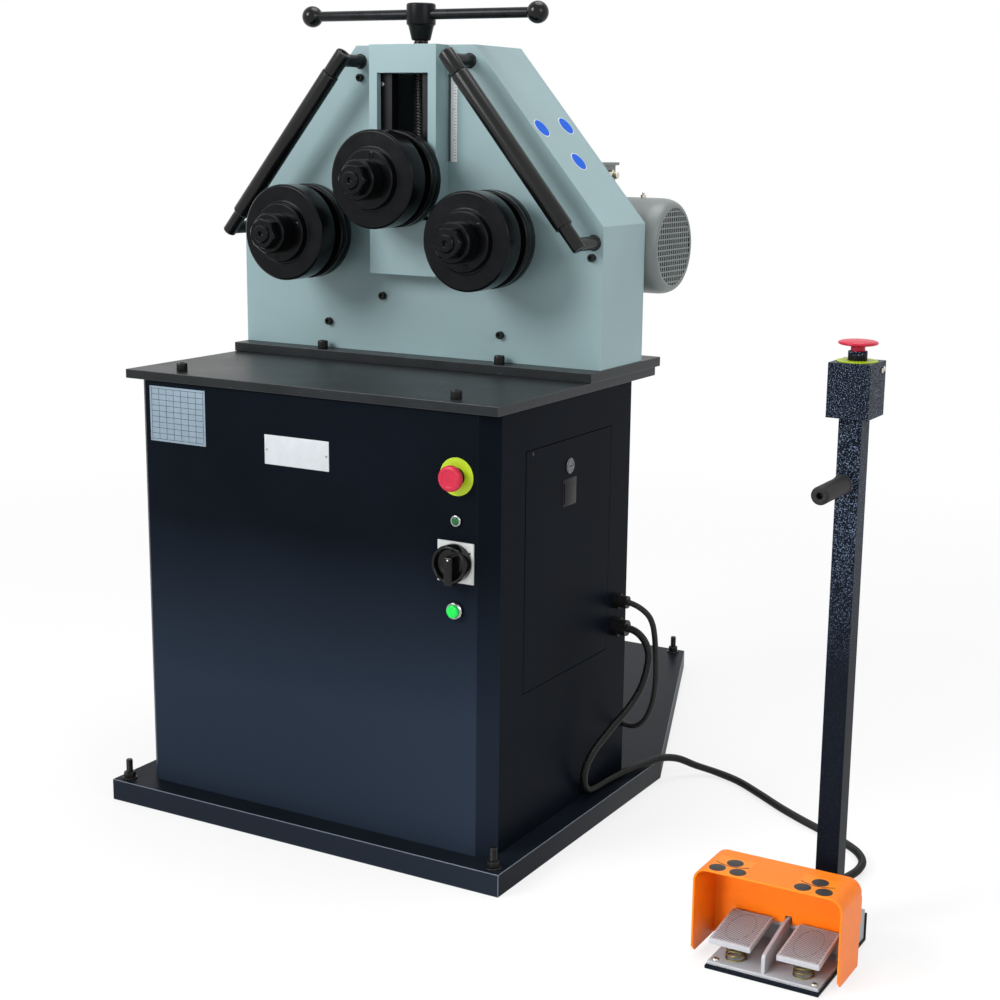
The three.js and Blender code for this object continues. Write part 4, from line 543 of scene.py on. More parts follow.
conduit_route = [
    (13, 0, 313), (26, 0, 313), (42, -1, 310), (56.5, -3.5, 301.5), (67.5, -7.5, 289),
    (73.5, -12.4, 273.5), (74, -17, 257), (71.5, -20, 240), (67.5, -24, 222.5), (62, -31, 206),
    (56, -41, 191.5), (50, -54, 178.8), (43, -73, 165.5), (36, -94, 150), (30, -112.7, 135.7),
    (24.5, -126.2, 120), (19.5, -133.5, 102), (15.5, -132.5, 82), (12.5, -123, 63.5),
    (11, -106, 49.5), (11, -83, 44.8), (13, -42, 44.3), (18, -2, 44.3), (26, 39, 44.5),
    (36, 78, 45), (48, 112, 45), (65, 144, 37), (89, 171, 20), (124, 184, 9.5), (172, 169, 7.5),
    (232, 129, 7.5), (284, 91, 7.5), (335, 58, 7.5), (387, 28, 7.5), (434, 0, 7.5),
    (465, -27, 7.8), (484, -60, 8.5), (489, -97, 9.5), (486, -137, 13), (480, -187, 20),
    (475, -232, 27), (472, -272, 30), (472, -295, 30), (472, -324, 30),
]


def on_machine(route):
    return [(SIDE + x, GLAND_Y + y, z) for x, y, z in route]


thin_line, thin_length = smooth_line(on_machine(thin_route), THIN_STEP)
conduit_line, conduit_length = smooth_line(on_machine(conduit_route), RIB / 4)
rib_radii = [CONDUIT / 2 - RIB_DEPTHS[i % 4] for i in range(len(conduit_line))]
thin_cable = Shape().tube(thin_line, THIN / 2, 18).done(
    "thin_cable_skin", "machine", "black_rubber", black_rubber, "thin_cable")
foot_conduit = Shape().tube(conduit_line, rib_radii, 16).done(
    "foot_conduit_skin", "machine", "black_rubber", conduit_black, "foot_conduit", crease=80)
for piece, line, length, diameter in ((thin_cable, thin_line, thin_length, THIN),
                                      (foot_conduit, conduit_line, conduit_length, CONDUIT)):
    line[0] * MM
    length * MM
    diameter * MM
    [point * MM for point in line]
    print(piece.name, round(length), "mm long,", len(piece.data.polygons), "faces")

# %% [markdown]
# ## The studio
# The backdrop is white only for what looks at it: the camera, and rays that mirror or pass through
# something. The light that it sheds is lower, so that a colour renders about as it is written. One large soft
# lamp to the left front lights the head's face, a weaker one keeps the right side readable, a small one near
# the floor reaches under the foot switch's guard, and one overhead lights the tops. The floor takes a shadow
# and fades into the backdrop.

# %% Studio


def looked_at(place):
    """1 for camera, mirror and see-through rays, and 0 for the others."""
    seen, mirrored, through = (place.new("LightPath", out="Is " + kind + " Ray")
                               for kind in ("Camera", "Glossy", "Transmission"))
    return seen.math("MAXIMUM", seen.math("MAXIMUM", seen, mirrored), through)


WHITE, SKY_LIGHT, FLOOR_REACH, FLOOR_FADE, NEAR_GLOW = (1, 1, 1, 1), 0.5, 30000, (1.3, 3.2), 0.74
world = bpy.data.worlds.new("studio")
bpy.context.scene.world = world
world.use_nodes = True
world.node_tree.nodes.clear()
sky = Socket(world.node_tree)
sky.new("OutputWorld", {}, {"Surface": sky.new("Background", {}, {
    "Color": WHITE, "Strength": SKY_LIGHT + (1 - SKY_LIGHT) * looked_at(sky)})})

floor_paint = bpy.data.materials.new("pale_floor")
floor_paint.use_nodes = True
floor_paint.node_tree.nodes.clear()
tree = Socket(floor_paint.node_tree)
matt = tree.new("BsdfDiffuse", {}, {"Color": (0.86, 0.86, 0.86, 1)})
near = tree.new("VectorMath", {"operation": "LENGTH"}, {0: tree.new("TexCoord", out=3)}, out="Value")
glow = tree.new("Emission", {}, {"Color": WHITE, "Strength": 1.0})
tree.new("OutputMaterial", {}, {"Surface": tree.new("MixShader", {}, {
    0: near.between(*FLOOR_FADE, NEAR_GLOW, 1.0) * looked_at(tree), 1: matt, 2: glow})})
floor = Shape().block((-FLOOR_REACH, -FLOOR_REACH, -40), (FLOOR_REACH, FLOOR_REACH, -0.5), 0)
floor.bare("floor", floor_paint)


def lamp(name, place, target, size, power, spread=180):
    data = bpy.data.lights.new(name, "AREA")
    data.shape, data.size, data.energy, data.spread = "DISK", size, power, math.radians(spread)
    piece = bpy.data.objects.new(name, data)
    piece.location = Vector(place)
    piece.rotation_euler = (Vector(target) - Vector(place)).to_track_quat("-Z", "Y").to_euler()
    bpy.context.collection.objects.link(piece)


lamp("key", (-1.9, -3.4, 3.0), (0, 0, 0.7), 2.2, 150)
lamp("side", (3.6, -1.6, 2.3), (0.3, 0, 0.7), 2.0, 34)
lamp("low", (0.35, -2.3, 0.62), (0.82, -0.3, 0.1), 0.6, 1.5, 40)
lamp("top", (0.4, 0.6, 4.2), (0.2, 0, 0), 2.6, 76)
print("lamps", len(bpy.data.lights))

# %% [markdown]
# ## Sheet metal, plates and castings
# These pieces have the right shape in the frame, but their edges are razor sharp. Each is copied, its flat
# faces are joined again, and its edges are rounded by the radius of the real bend or of the deburred cut. On
# plates and painted corners the rounding takes a second finish, as the paint or the black layer wears off
# there. On the cabinet, the door and the tray that second finish is also a painted highlight, a paler line of
# light along the edge.

# %% Softened copies
SAME_POINT, FLAT_WITHIN = 0.02 * MM, 0.5


def softened(node, finish, width, edge=None, body="machine", limit=30, segments=2):
    mesh = bmesh.new()
    mesh.from_mesh(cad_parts[node].data)
    bmesh.ops.remove_doubles(mesh, verts=mesh.verts, dist=SAME_POINT)
    bmesh.ops.dissolve_limit(mesh, angle_limit=math.radians(FLAT_WITHIN), verts=mesh.verts, edges=mesh.edges)
    for face in mesh.faces:
        face.smooth, face.material_index = True, 0
    data = bpy.data.meshes.new(node + "_body")
    mesh.to_mesh(data)
    mesh.free()
    for layer in (finish, edge):
        if layer:
            data.materials.append(layer)
    piece = bpy.data.objects.new(node + "_body", data)
    bpy.context.collection.objects.link(piece)
    bevel = piece.modifiers.new("edges", "BEVEL")
    bevel.width, bevel.segments, bevel.limit_method = width * MM, segments, "ANGLE"
    bevel.angle_limit, bevel.harden_normals = math.radians(limit), True
    bevel.material = 1 if edge else -1
    flat = piece.modifiers.new("flat_faces", "WEIGHTED_NORMAL")
    flat.mode, flat.weight, flat.keep_sharp = "FACE_AREA", 100, True
    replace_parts(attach(piece, body), node)


softened("base_tray", tray_paint, 1.0, tray_edge_wear_glint)
softened("cabinet_shell", cabinet_paint, 1.4, worn_and_glint_paint)
softened("table_plate", plate_steel, 0.9, worn_edge)
softened("head_plate", plate_steel, 0.9, worn_edge)
softened("head_housing", head_paint, 1.6)
softened("head_rear_cover", head_paint, 0.8)
softened("slide_ways", way_steel, 0.6)
softened("slide_block", way_steel, 1.0, body="slide")
softened("screw_nut", bronze, 0.8)
softened("access_door", cabinet_paint, 0.7, worn_and_glint_paint, body="door")
softened("stop_box", hammered_paint, 2.0)
softened("pedestal_stand", hammered_paint, 1.4)
softened("motor_housing", silver_paint, 0.8)
softened("gearbox_housing", casting_paint, 1.2)
softened("foot_base", pedal_paint, 1.0)
softened("switchgear", plate_grey, 0.7)
softened("foot_hood", orange_guard, 1.0, limit=40, segments=3)

# %% [markdown]
# ## Carried-over pieces
# Hidden and plain turned pieces keep their mesh from the frame. They get the finish of their real metal.

# %% Better finishes
gear_steel = turned_steel("gear_steel", rgb(78, 78, 80), 0.32)
real_finish = {"left_gear": gear_steel, "right_gear": gear_steel, "drive_pinion": gear_steel,
               "cooling_fan": satin_black, "cable_gland": black_bolt, "conduit_gland": black_bolt}
for node, finish in real_finish.items():
    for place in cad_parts[node].material_slots:
        place.material = finish
print("better finishes", len(real_finish))

# %% [markdown]
# ## Threads and nuts
# A thread is a rod whose radius goes up and down as a wave that climbs by one pitch for each turn. A real nut
# is a hexagon whose corners were cut back on the lathe, so each of its rings of points takes the smaller of
# two distances: that of the hexagon's flat, and that of a circle which shrinks towards the end.

# %% Threads
RINGS_IN_PITCH, V_DEPTH, SIXTH = 6, 0.55, math.pi / 3


def thread(self, diameter, low, high, pitch, centre, depth=None, steps=40, finish=0):
    """A solid upright rod with a helical V thread, cut down at both ends."""
    depth = depth or V_DEPTH * pitch
    count = max(4, round((high - low) / pitch * RINGS_IN_PITCH))
    rings = []
    for k in range(count + 1):
        along = low + (high - low) * k / count
        fade = min(1.0, (along - low) / pitch, (high - along) / pitch)
        waves = [1 - abs(2 * ((along / pitch + i / steps) % 1) - 1) for i in range(steps)]
        radii = [diameter / 2 - depth * (1 - fade * wave) for wave in waves]
        rings.append([(r * a, r * b, along) for r, (a, b) in zip(radii, circle(steps))])
    self.skin(rings, finish, centre=centre)


def chamfered_nut(self, flats, low, high, axis="y", centre=(0, 0, 0), turn=0, hole=0, steps=72):
    """A hexagon nut whose corners are cut back by a cone at both ends, with a hole if it is given."""
    flat, corner = flats / 2, flats / 2 / math.cos(SIXTH / 2)
    cut = (corner - flat) * 0.62
    ends = [(low, flat - 0.4), (low + cut * 0.4, flat + 0.5), (low + cut, corner),
            (high - cut, corner), (high - cut * 0.4, flat + 0.5), (high, flat - 0.4)]
    if hole:
        ends = [(low, hole / 2), *ends, (high, hole / 2)]
    sides = [flat / math.cos((i * math.tau / steps - turn + SIXTH / 2) % SIXTH - SIXTH / 2)
             for i in range(steps)]
    rings = [[(min(side, most) * a, min(side, most) * b, along) for side, (a, b) in zip(sides, circle(steps))]
             for along, most in ends]
    self.skin(rings, 0, AXES[axis], centre, closed=bool(hole))


Shape.thread, Shape.nut = thread, chamfered_nut
print("threads and nuts ready")

# %% [markdown]
# ## The three roll sets
# Each forming roll is a pair of hardened discs with a neck between them, turned and then blackened. A clamped
# collar with socket screws, a large nut and a spigot hold the discs on the shaft, so that they can be changed
# for other profiles. All of it is turned round one axis, which lies along Y.

# %% Rolls
ROLL_RADIUS, NECK_RADIUS, BORE, FLANGE, COLLAR, SOCKET_RING = 80, 62, 20.3, 29, 11, 40.5
FINE, MEDIUM, COARSE = 128, 96, 64
NUT_TURN = {"left": 12, "right": 0, "upper": 4}
SOCKET_TURN = {"left": 20, "right": 40, "upper": 78}
for side in NUT_TURN:
    body, r = side + "_roll", ROLL_RADIUS
    x, z = middle(body + "_front_disc", 0), middle(body + "_front_disc", 2)
    front, face = (corner[1] for corner in box_mm(body + "_front_disc"))
    step = box_mm(body + "_rear_disc")[1][1] - FLANGE
    disc = face - front
    roll_steel = turned_steel(body + "_steel", rgb(13, 14, 16), 0.22, (x, 0, z), metal=0.55, depth=0.00006)
    for end, place, line in (
            ("front", front, [(52, 0), (53, 0.8), (r - 3, 0.8), (r, 3), (r, disc - 2), (r - 2, disc)]),
            ("rear", step, [(NECK_RADIUS, face - step), (NECK_RADIUS, 0), (r - 2, 0), (r, 2), (r, 12.5),
                            (r - 1.6, 13.6), (r - 1.6, 14.6), (r, 15.7), (r, FLANGE - 2), (r - 2, FLANGE)])):
        Shape().turned(line, "y", (x, place, z), FINE, 0.9, bore=BORE).done(
            f"{body}_{end}_roll", body, "black_oxide", roll_steel, f"{body}_{end}_disc")

    collar = front - COLLAR
    seat = (x, collar, z)
    clamp = Shape()
    clamp.turned([(47.6, 0), (49, 1.4), (49, COLLAR)], "y", seat, MEDIUM, 0.7, bore=BORE)
    clamp.turned([(31.4, -30.6), (33, -29), (33, -3), (32.2, -2), (32.2, 1)], "y", seat, MEDIUM, 0.5,
                 bore=BORE)
    clamp.nut(46, -46, -30.4, centre=seat, hole=30.4, turn=math.radians(NUT_TURN[side]))
    for k in range(3):
        angle = math.radians(SOCKET_TURN[side] + 120 * k)
        hole = (x + SOCKET_RING * math.cos(angle), collar, z + SOCKET_RING * math.sin(angle))
        clamp.turned([(5.4, 0.3), (5.4, -0.5), (4.4, -0.9)], "y", hole, 24, 0, bore=3)
    clamp.done(body + "_clamping_nut", body, "black_oxide", roll_steel, body + "_nut")

    nose, rear = (corner[1] for corner in box_mm(body + "_shaft"))
    shoulder, length = front - nose, rear - nose
    spindle = Shape().turned([(0, 7), (4, 5), (4, 1.2), (5.2, 0), (13, 0), (15, 2), (15, 8),
                              (15, shoulder - 1), (20, shoulder - 0.5), (20, length - 2), (18, length)],
                             "y", (x, nose, z), COARSE, 0.5)
    spindle.done(body + "_spindle", body, "ground_steel", roll_steel, body + "_shaft")
print("rolls", list(NUT_TURN))

# %% [markdown]
# ## The screw and its handle
# A steel screw moves the upper roll. Its hub is one turning with a cone below, and a loose bar with two black
# balls slides through it. The thread shows in the column's window, so it is a real helix.

# %% Screw
SCREW_Y, BAR_Z = middle("lead_screw", 1), middle("handle_bar", 2)
THREAD, THREAD_PITCH, THREAD_DEPTH, THREAD_END = 26, 5, 2, 59
BALL, BALL_HOLE, BAR = 18, 8.6, 17
bottom, top = (corner[2] for corner in box_mm("lead_screw"))
on_screw = (0, SCREW_Y, 0)
screw = Shape()
screw.thread(THREAD, bottom, top - THREAD_END, THREAD_PITCH, on_screw, THREAD_DEPTH, finish=1)
screw.turned([(14.5, -60), (16, -58.5), (21.5, -36), (24.5, -34), (24.5, -2.5), (22.5, 0)], "z",
             (0, SCREW_Y, top), MEDIUM, 1.2)
screw.done("screw_and_hub", "screw", "black_oxide", [
    turned_steel("hub_steel", rgb(18, 19, 21), 0.32, on_screw, "z", 0.6),
    turned_steel("thread_steel", rgb(58, 58, 60), 0.3, on_screw, "z")], "lead_screw")


def ball(radius, along, cut, steps=18):
    """The line of a ball, from its far side to a rod of the radius cut. A doubled last point stays sharp."""
    last = math.pi - math.asin(cut / radius)
    line = [(radius * math.sin(last * i / steps), along - radius * math.cos(last * i / steps))
            for i in range(steps + 1)]
    return line + [(cut, line[-1][1])]


on_bar = (0, SCREW_Y, BAR_Z)
reach = box_mm("handle_bar")[1][0] - BALL
handle = Shape()
for sign in (-1, 1):
    handle.turned([(r, -sign * a) for r, a in ball(BALL, -reach, BALL_HOLE)], "x", on_bar, 48, 0.3, finish=1)
handle.rod(BAR, 14 - reach, reach - 14, "x", on_bar)
handle.done("sliding_handle", "screw", "black_oxide", [
    turned_steel("handle_steel", rgb(26, 27, 29), 0.3, on_bar, "x", 0.6), gloss_black], "handle_bar")
print("handle reaches", round(reach + BALL), "mm to each side")

# %% [markdown]
# ## The guide bars
# Each bar is a turned, blackened steel rod between two pegs. The end at the top is a sleeve with a socket
# screw, and the lower end is stepped down. The pegs are screwed into the head.

# %% Guide bars
BAR_Y, BAR_TOP, BAR_BOTTOM = 29, (108, 1260), (343, 975)
for side, sign in (("left", -1), ("right", 1)):
    start = Vector((sign * BAR_TOP[0], BAR_Y, BAR_TOP[1]))
    end = Vector((sign * BAR_BOTTOM[0], BAR_Y, BAR_BOTTOM[1]))
    length = (end - start).length
    tilt = (end - start).to_track_quat("Z", "Y").to_matrix()
    oxide = paint(side + "_bar_oxide", rgb(11, 12, 13), 0.24, 0.00002, 900, 0.3, 0.16, shine=0.28)
    arm = Shape().turned([(5.5, -11), (5.5, -15), (11.5, -15), (13.5, -13), (13.5, 27), (12.6, 28)],
                         centre=start, steps=COARSE, turn=tilt)
    arm.turned([(10.5, 30.4), (10.5, 86), (12.5, 87), (12.5, 90)], "y", (start.x, 0, start.z), 48)
    arm.turned([(3.6, -13.5), (3.6, -11)], centre=start, steps=6, turn=tilt, ease=0.2)
    arm.done(side + "_sleeve", "machine", "black_oxide", oxide, side + "_upper_arm")
    bar = Shape().turned([(13.4, 28.4), (15, 30.4), (15, length - 36), (13.4, length - 34),
                          (11.5, length - 34), (11.5, length + 8), (9.5, length + 10)],
                         centre=start, turn=tilt)
    bar.turned([(11, 30), (11, 86), (13, 87), (13, 90)], "y", (end.x, 0, end.z), 48)
    bar.done(side + "_bar", "machine", "black_oxide", oxide, side + "_guide_bar")
print("guide bars", round(length), "mm between their pegs")

# %% [markdown]
# ## The fan cover
# A pressed cup covers the motor's fan. Its shoulder is a long curve, and its end is a fine grille of upright
# slots. The grille is made of crossing bars, each cut to the round outline. The line of the cup closes at its
# open rim, so no end of it is led inward. Two glands and an eye bolt's nut sit on top of the motor.

# %% Fan cover
(cover_start, _, cover_bottom), (cover_end, _, cover_top) = box_mm("fan_cover")
MOTOR_Y, MOTOR_Z = middle("fan_cover", 1), middle("fan_cover", 2)
COVER_R, FACE_R, SHOULDER, SHEET, GRILLE = (cover_top - cover_bottom) / 2, 68.5, 28, 2, 65.5
SLOT_ACROSS, SLOT_UP, WEB_ACROSS, WEB_UP = 8.7, 9.2, 3.0, 2.4


def shoulder_line(inset, steps=14):
    quarter = [i / steps * math.pi / 2 for i in range(steps + 1)]
    return [(FACE_R - inset + (COVER_R - FACE_R) * math.cos(a),
             cover_end - inset - SHOULDER * (1 - math.sin(a))) for a in quarter]


cover = Shape().turned([(COVER_R, cover_start), *shoulder_line(0), (GRILLE + 0.8, cover_end),
                        (GRILLE, cover_end - 1.6), (GRILLE, cover_end - SHEET), *shoulder_line(SHEET)[::-1],
                        (COVER_R - SHEET, cover_start)], "x", (0, MOTOR_Y, MOTOR_Z), MEDIUM, 0.25,
                       bore=COVER_R)
face = cover_end - 1.2
for pitch, web, upright in ((SLOT_ACROSS, WEB_ACROSS, True), (SLOT_UP, WEB_UP, False)):
    for i in range(-8, 8):
        offset = (i + 0.5) * pitch
        if abs(offset) > GRILLE - 2:
            continue
        half = math.sqrt(GRILLE ** 2 - offset ** 2) + 0.4
        spans = ((offset - web / 2, offset + web / 2), (-half, half))
        (y0, y1), (z0, z1) = spans if upright else spans[::-1]
        cover.block((face - (1.5 if upright else 1.3), MOTOR_Y + y0, MOTOR_Z + z0),
                    (face + (0.1 if upright else 0), MOTOR_Y + y1, MOTOR_Z + z1), 0)
cover.done("fan_grille", "machine", "cast_alloy", silver_paint, "fan_cover", crease=32)

fittings = Shape()
eye = (314, MOTOR_Y, MOTOR_Z + COVER_R - 0.3)
fittings.nut(8, 0, 5, "z", eye)
fittings.rod(4.5, 4.8, 9, "z", eye, 24)
lid = box_mm("motor_housing")[1][2]
for offset in (-14, 16):
    gland = (240, MOTOR_Y + offset, lid - 22)
    fittings.nut(17, 0, 7, "x", gland)
    fittings.rod(12, 6, 16, "x", gland, 32)
fittings.rod(5, -2, 3, "z", (233, MOTOR_Y - 30, lid), 24)
fittings.done("motor_fittings", "machine", "zinc", zinc_steel)
plug = Shape().turned([(7.5, 0), (7.5, 3), (5.5, 5)], "y", (325, MOTOR_Y - COVER_R - 4.2, MOTOR_Z + 6), 36)
plug.done("cover_plug", "machine", "black_rubber", black_rubber)
print("fan cover", round(2 * COVER_R), "mm across")

# %% [markdown]
# ## The controls
# The emergency stop is a red cap with a gripped rim over a plain yellow disc. The pilot lamp and the start
# button sit in chrome rings. The selector is a deep black knob: a ring with a sunk face, and a grip across it
# that ends below the ring.

# %% Controls
PANEL = -232
PANEL_X, STOP_Z, LAMP_Z = middle("stop_disc", 0), middle("stop_disc", 2), middle("indicator_lamp", 2)
START_Z, SWITCH_Z = middle("start_bezel", 2), middle("selector_plate", 2)
GRIPS, GRIP_RING = 24, 19.2
on_panel = (PANEL_X, PANEL, STOP_Z)
disc = Shape().turned([(29.2, -1.5), (29.5, -1.1), (29.5, 0)], "y", on_panel, MEDIUM, 0.2, bore=14.6)
disc.turned([(13.4, -6.5), (14.5, -5.5), (14.5, 0)], "y", on_panel, COARSE, 0.4, finish=1, bore=9.5)
disc.done("stop_ring", "machine", "yellow_plastic", [signal_yellow, satin_black], "stop_disc")
cap = box_mm("stop_button")[0][1]
button = Shape().turned([(9, PANEL + 15 - cap), (9, 13), (14, 12), (17.5, 11), (20, 9.5), (20, 3.6),
                         (18.6, 1.4), (15, 0.2), (13.4, 0.2), (12.6, 1), (6, 1.6), (0, 1.8)], "y",
                        (PANEL_X, cap, STOP_Z), MEDIUM, 0.9)
for i in range(GRIPS):
    angle = i * math.tau / GRIPS
    button.rod(1.8, 3.6, 9.6, "y", (PANEL_X + GRIP_RING * math.cos(angle), cap,
                                    STOP_Z + GRIP_RING * math.sin(angle)), 8, 0.3)
button.done("stop_cap", "stop", "red_plastic", stop_red, "stop_button")

on_panel = (PANEL_X, PANEL, LAMP_Z)
pilot = Shape().turned([(8, -4), (9, -3), (9, 0)], "y", on_panel, COARSE, 0.5, bore=6.4)
pilot.turned([(6.3, 28), (6.3, -4.2), (5, -5.6), (0, -6.6)], "y", on_panel, COARSE, 1.6, finish=1)
pilot.done("pilot_lamp", "machine", "green_plastic", [chrome, lamp_green], "indicator_lamp")

rim = box_mm("start_bezel")[0][1] - PANEL
ring = Shape().turned([(12.2, rim), (14, rim + 2.5), (14, 0), (11, 0), (11, 30)], "y",
                      (PANEL_X, PANEL, START_Z), 72, 0.6, bore=10.8)
ring.done("start_ring", "machine", "chrome", chrome, "start_bezel")
push = box_mm("start_button")[0][1]
start_cap = Shape().turned([(10.3, PANEL + 9 - push), (10.3, 2.4), (9.2, 0.7), (7, 0)], "y",
                           (PANEL_X, push, START_Z), 72, 1)
start_cap.done("start_cap", "start", "green_plastic", button_green, "start_button")
print("stop, lamp and start")

# %% [markdown]
# The selector's plate has a dot for each end of the knob's turn. The knob is turned in one line from its stem
# to its sunk face, and a rounded block lies across it as the grip, with a white dot on it.

# %% Selector
DOT_TURN, DOT_RING, DOT_WIDE, DOT_UP, GRIP_HALF = 51, (32.98, 26.52), 3, 7.5, 7.5
plate_low, plate_high = box_mm("selector_plate")
plate = Shape().block(plate_low, plate_high, 0.7)
for turn_by in (-DOT_TURN, DOT_TURN):
    spin = math.radians(90 - turn_by)
    mark = (PANEL_X + DOT_RING[0] * math.cos(spin), plate_low[1], SWITCH_Z + DOT_RING[1] * math.sin(spin))
    plate.rod(DOT_WIDE, -0.25, 0.6, "y", mark, 24, 0.1, finish=1)
plate.done("selector_face", "machine", "grey_plastic", [plate_grey, mark_black], "selector_plate")
front = box_mm("selector_knob")[0][1]
seat = plate_low[1] - front
knob = Shape().turned([(6, PANEL + 24 - front), (6, seat - 0.4), (29, seat - 0.4), (30, seat - 1.6),
                       (30, 4), (28.4, 0.8), (26.5, 0.6), (25, 2), (23, 10), (19, 12)], "y",
                      (PANEL_X, front, SWITCH_Z), MEDIUM, 1)
knob.block((PANEL_X - GRIP_HALF, front, SWITCH_Z - 33), (PANEL_X + GRIP_HALF, front + 15, SWITCH_Z + 12), 3.2,
           segments=4)
knob.rod(DOT_WIDE, -0.05, 2, "y", (PANEL_X, front, SWITCH_Z + DOT_UP), 24, 0.2, finish=1)
knob.done("selector_handle", "selector", "black_plastic", [gloss_black, label_white], "selector_knob")
print("selector")

# %% [markdown]
# ## The pedestal's stop
# The box on the post carries a second emergency stop: a thin, wide cap on a red stem, a black collar and a
# yellow disc. The round grip on the post is a rubber sleeve with a hole in its end.

# %% Pedestal stop
palm_low, palm_high = box_mm("palm_button")
PALM_X, PALM_Y, PALM_COLLAR = middle("palm_button", 0), middle("palm_button", 1), 14.5
on_box = (PALM_X, PALM_Y, box_mm("stop_box")[1][2] - PALM_COLLAR)
collar = Shape().turned([(28.5, 0), (28.5, 1.2), (28, 1.6)], "z", on_box, MEDIUM, 0.2, bore=10.4)
collar.turned([(13.5, 1), (13.5, 9), (12.5, 10.5)], "z", on_box, COARSE, 0.4, finish=1, bore=10.4)
collar.done("palm_collar", "machine", "yellow_plastic", [signal_yellow, satin_black])
palm = Shape().turned([(10, palm_low[2] - palm_high[2]), (10, -9.5), (14, -8.6), (24, -7.6), (27.2, -6.4),
                       (28, -4.6), (27.2, -3.2), (24, -1.8), (14, -0.5), (0, 0)], "z",
                      (PALM_X, PALM_Y, palm_high[2]), MEDIUM, 1.4)
palm.done("palm_cap", "palm", "red_plastic", stop_red, "palm_button")

grip_start, grip_end = (corner[1] for corner in box_mm("post_grip"))
long = grip_end - grip_start
grip = Shape().turned([(0, 13), (4.5, 12), (4.5, 1), (5.4, 0), (10.5, 0), (13, 2.5), (13, long - 16),
                       (13.6, long - 15), (14.6, long - 13), (14.6, long - 9.5), (13, long - 9),
                       (5, long - 9), (5, long)], "y",
                      (middle("post_grip", 0), grip_start, middle("post_grip", 2)), COARSE)
grip.done("rubber_grip", "machine", "black_rubber", black_rubber, "post_grip")
print("grip", round(long), "mm long")

# %% [markdown]
# ## The foot switch
# The pedals are painted castings with fine slanted ribs for grip, and each presses a short tapered spring.
# The ribs are real ridges, cut to a clear border, and a shallow oval line is moulded among them.

# %% Pedals
FRONT_TOP, REAR_TOP, THICK, LENGTH, HALF, ARM_HALF = 45, 56, 8, 86, 31, 19
MARGIN, RIB_PITCH, RIB_COUNT, RIB_ALONG = 3.5, 3.6, 17, Vector((0.384, 0.923))
RIB_HALF, RIB_TOP, RIB_RISE, SHORTEST_RIB = 1.2, 0.45, Vector((0, 0, 0.85)), 5
OVAL, OVAL_LINE, LOWERED = (19, 34), 0.42, 0.9
RIB_FACES = [(0, 3, 2, 1), (4, 5, 6, 7), (0, 1, 5, 4), (1, 2, 6, 5), (2, 3, 7, 6), (3, 0, 4, 7)]


def tread(side):
    """One pedal: its sloped plate, the arm with the pivot behind it, the ribs and the oval."""
    (_, front, _), (_, rear, _) = box_mm(side + "_pedal")
    x, y = middle(side + "_pedal", 0), front + LENGTH / 2
    pedal = Shape()
    pedal.prism([(front, FRONT_TOP - THICK - 1), (front + 6, FRONT_TOP - THICK - 1),
                 (front + 7, FRONT_TOP - THICK), (front + LENGTH, REAR_TOP - THICK),
                 (front + LENGTH, REAR_TOP - LOWERED), (front, FRONT_TOP - LOWERED)],
                "x", x - HALF, x + HALF, 1.6, segments=3)
    pedal.prism([(front + 74, REAR_TOP - THICK - 2), (rear - 7.5, 34.5), (rear - 4, 35), (rear - 2, 46),
                 (rear - 7.5, 49.5), (front + 84, REAR_TOP - 3)], "x", x - ARM_HALF, x + ARM_HALF, 0.8)
    pedal.rod(15, x - ARM_HALF, x + ARM_HALF, "x", (0, rear - 7.5, 42), 40)

    def on_top(a, b, above=0.0):
        """The point of the sloped top that lies a and b from its middle."""
        climb = (REAR_TOP - FRONT_TOP) / LENGTH * (LENGTH / 2 + b)
        return Vector((x + a, y + b, FRONT_TOP - LOWERED + climb + above))

    reach_x, reach_y = HALF - MARGIN, LENGTH / 2 - MARGIN
    corners = [(-1, -1), (1, -1), (1, 1), (-1, 1)]
    pedal.put([on_top(a * reach_x, b * reach_y, 0.06) for a, b in corners], [(0, 1, 2, 3)], 1)
    for k in range(-RIB_COUNT, RIB_COUNT + 1):
        start = Vector((RIB_ALONG.y, -RIB_ALONG.x)) * k * RIB_PITCH
        first = max((-reach_x - start.x) / RIB_ALONG.x, (-reach_y - start.y) / RIB_ALONG.y)
        last = min((reach_x - start.x) / RIB_ALONG.x, (reach_y - start.y) / RIB_ALONG.y)
        if last - first > SHORTEST_RIB:
            a, b = (on_top(*(start + RIB_ALONG * end)) for end in (first, last))
            across = (b - a).normalized().cross(Vector((0, 0, 1))) * RIB_HALF
            foot = [a - across, a + across, b + across, b - across]
            crest = [a - across * RIB_TOP, a + across * RIB_TOP, b + across * RIB_TOP, b - across * RIB_TOP]
            pedal.solid([p - RIB_RISE for p in foot] + [p + RIB_RISE for p in crest], RIB_FACES)
    ring = circle(48)
    pedal.tube([on_top(OVAL[0] * a, OVAL[1] * b, 0.7) for a, b in ring + ring[:1]], OVAL_LINE, 6, finish=1)
    pedal.done(side + "_tread", side + "_foot", "cast_alloy", [pedal_paint, groove_paint], side + "_pedal")


for side in ("left", "right"):
    tread(side)
print("pedals", 2 * HALF, "by", LENGTH, "mm")

# %% [markdown]
# Under each pedal stands a coil of yellow zinc wire that tapers a little towards its top. The ends of the
# wire lie flat, so its climb starts and stops inside the first and last turn.

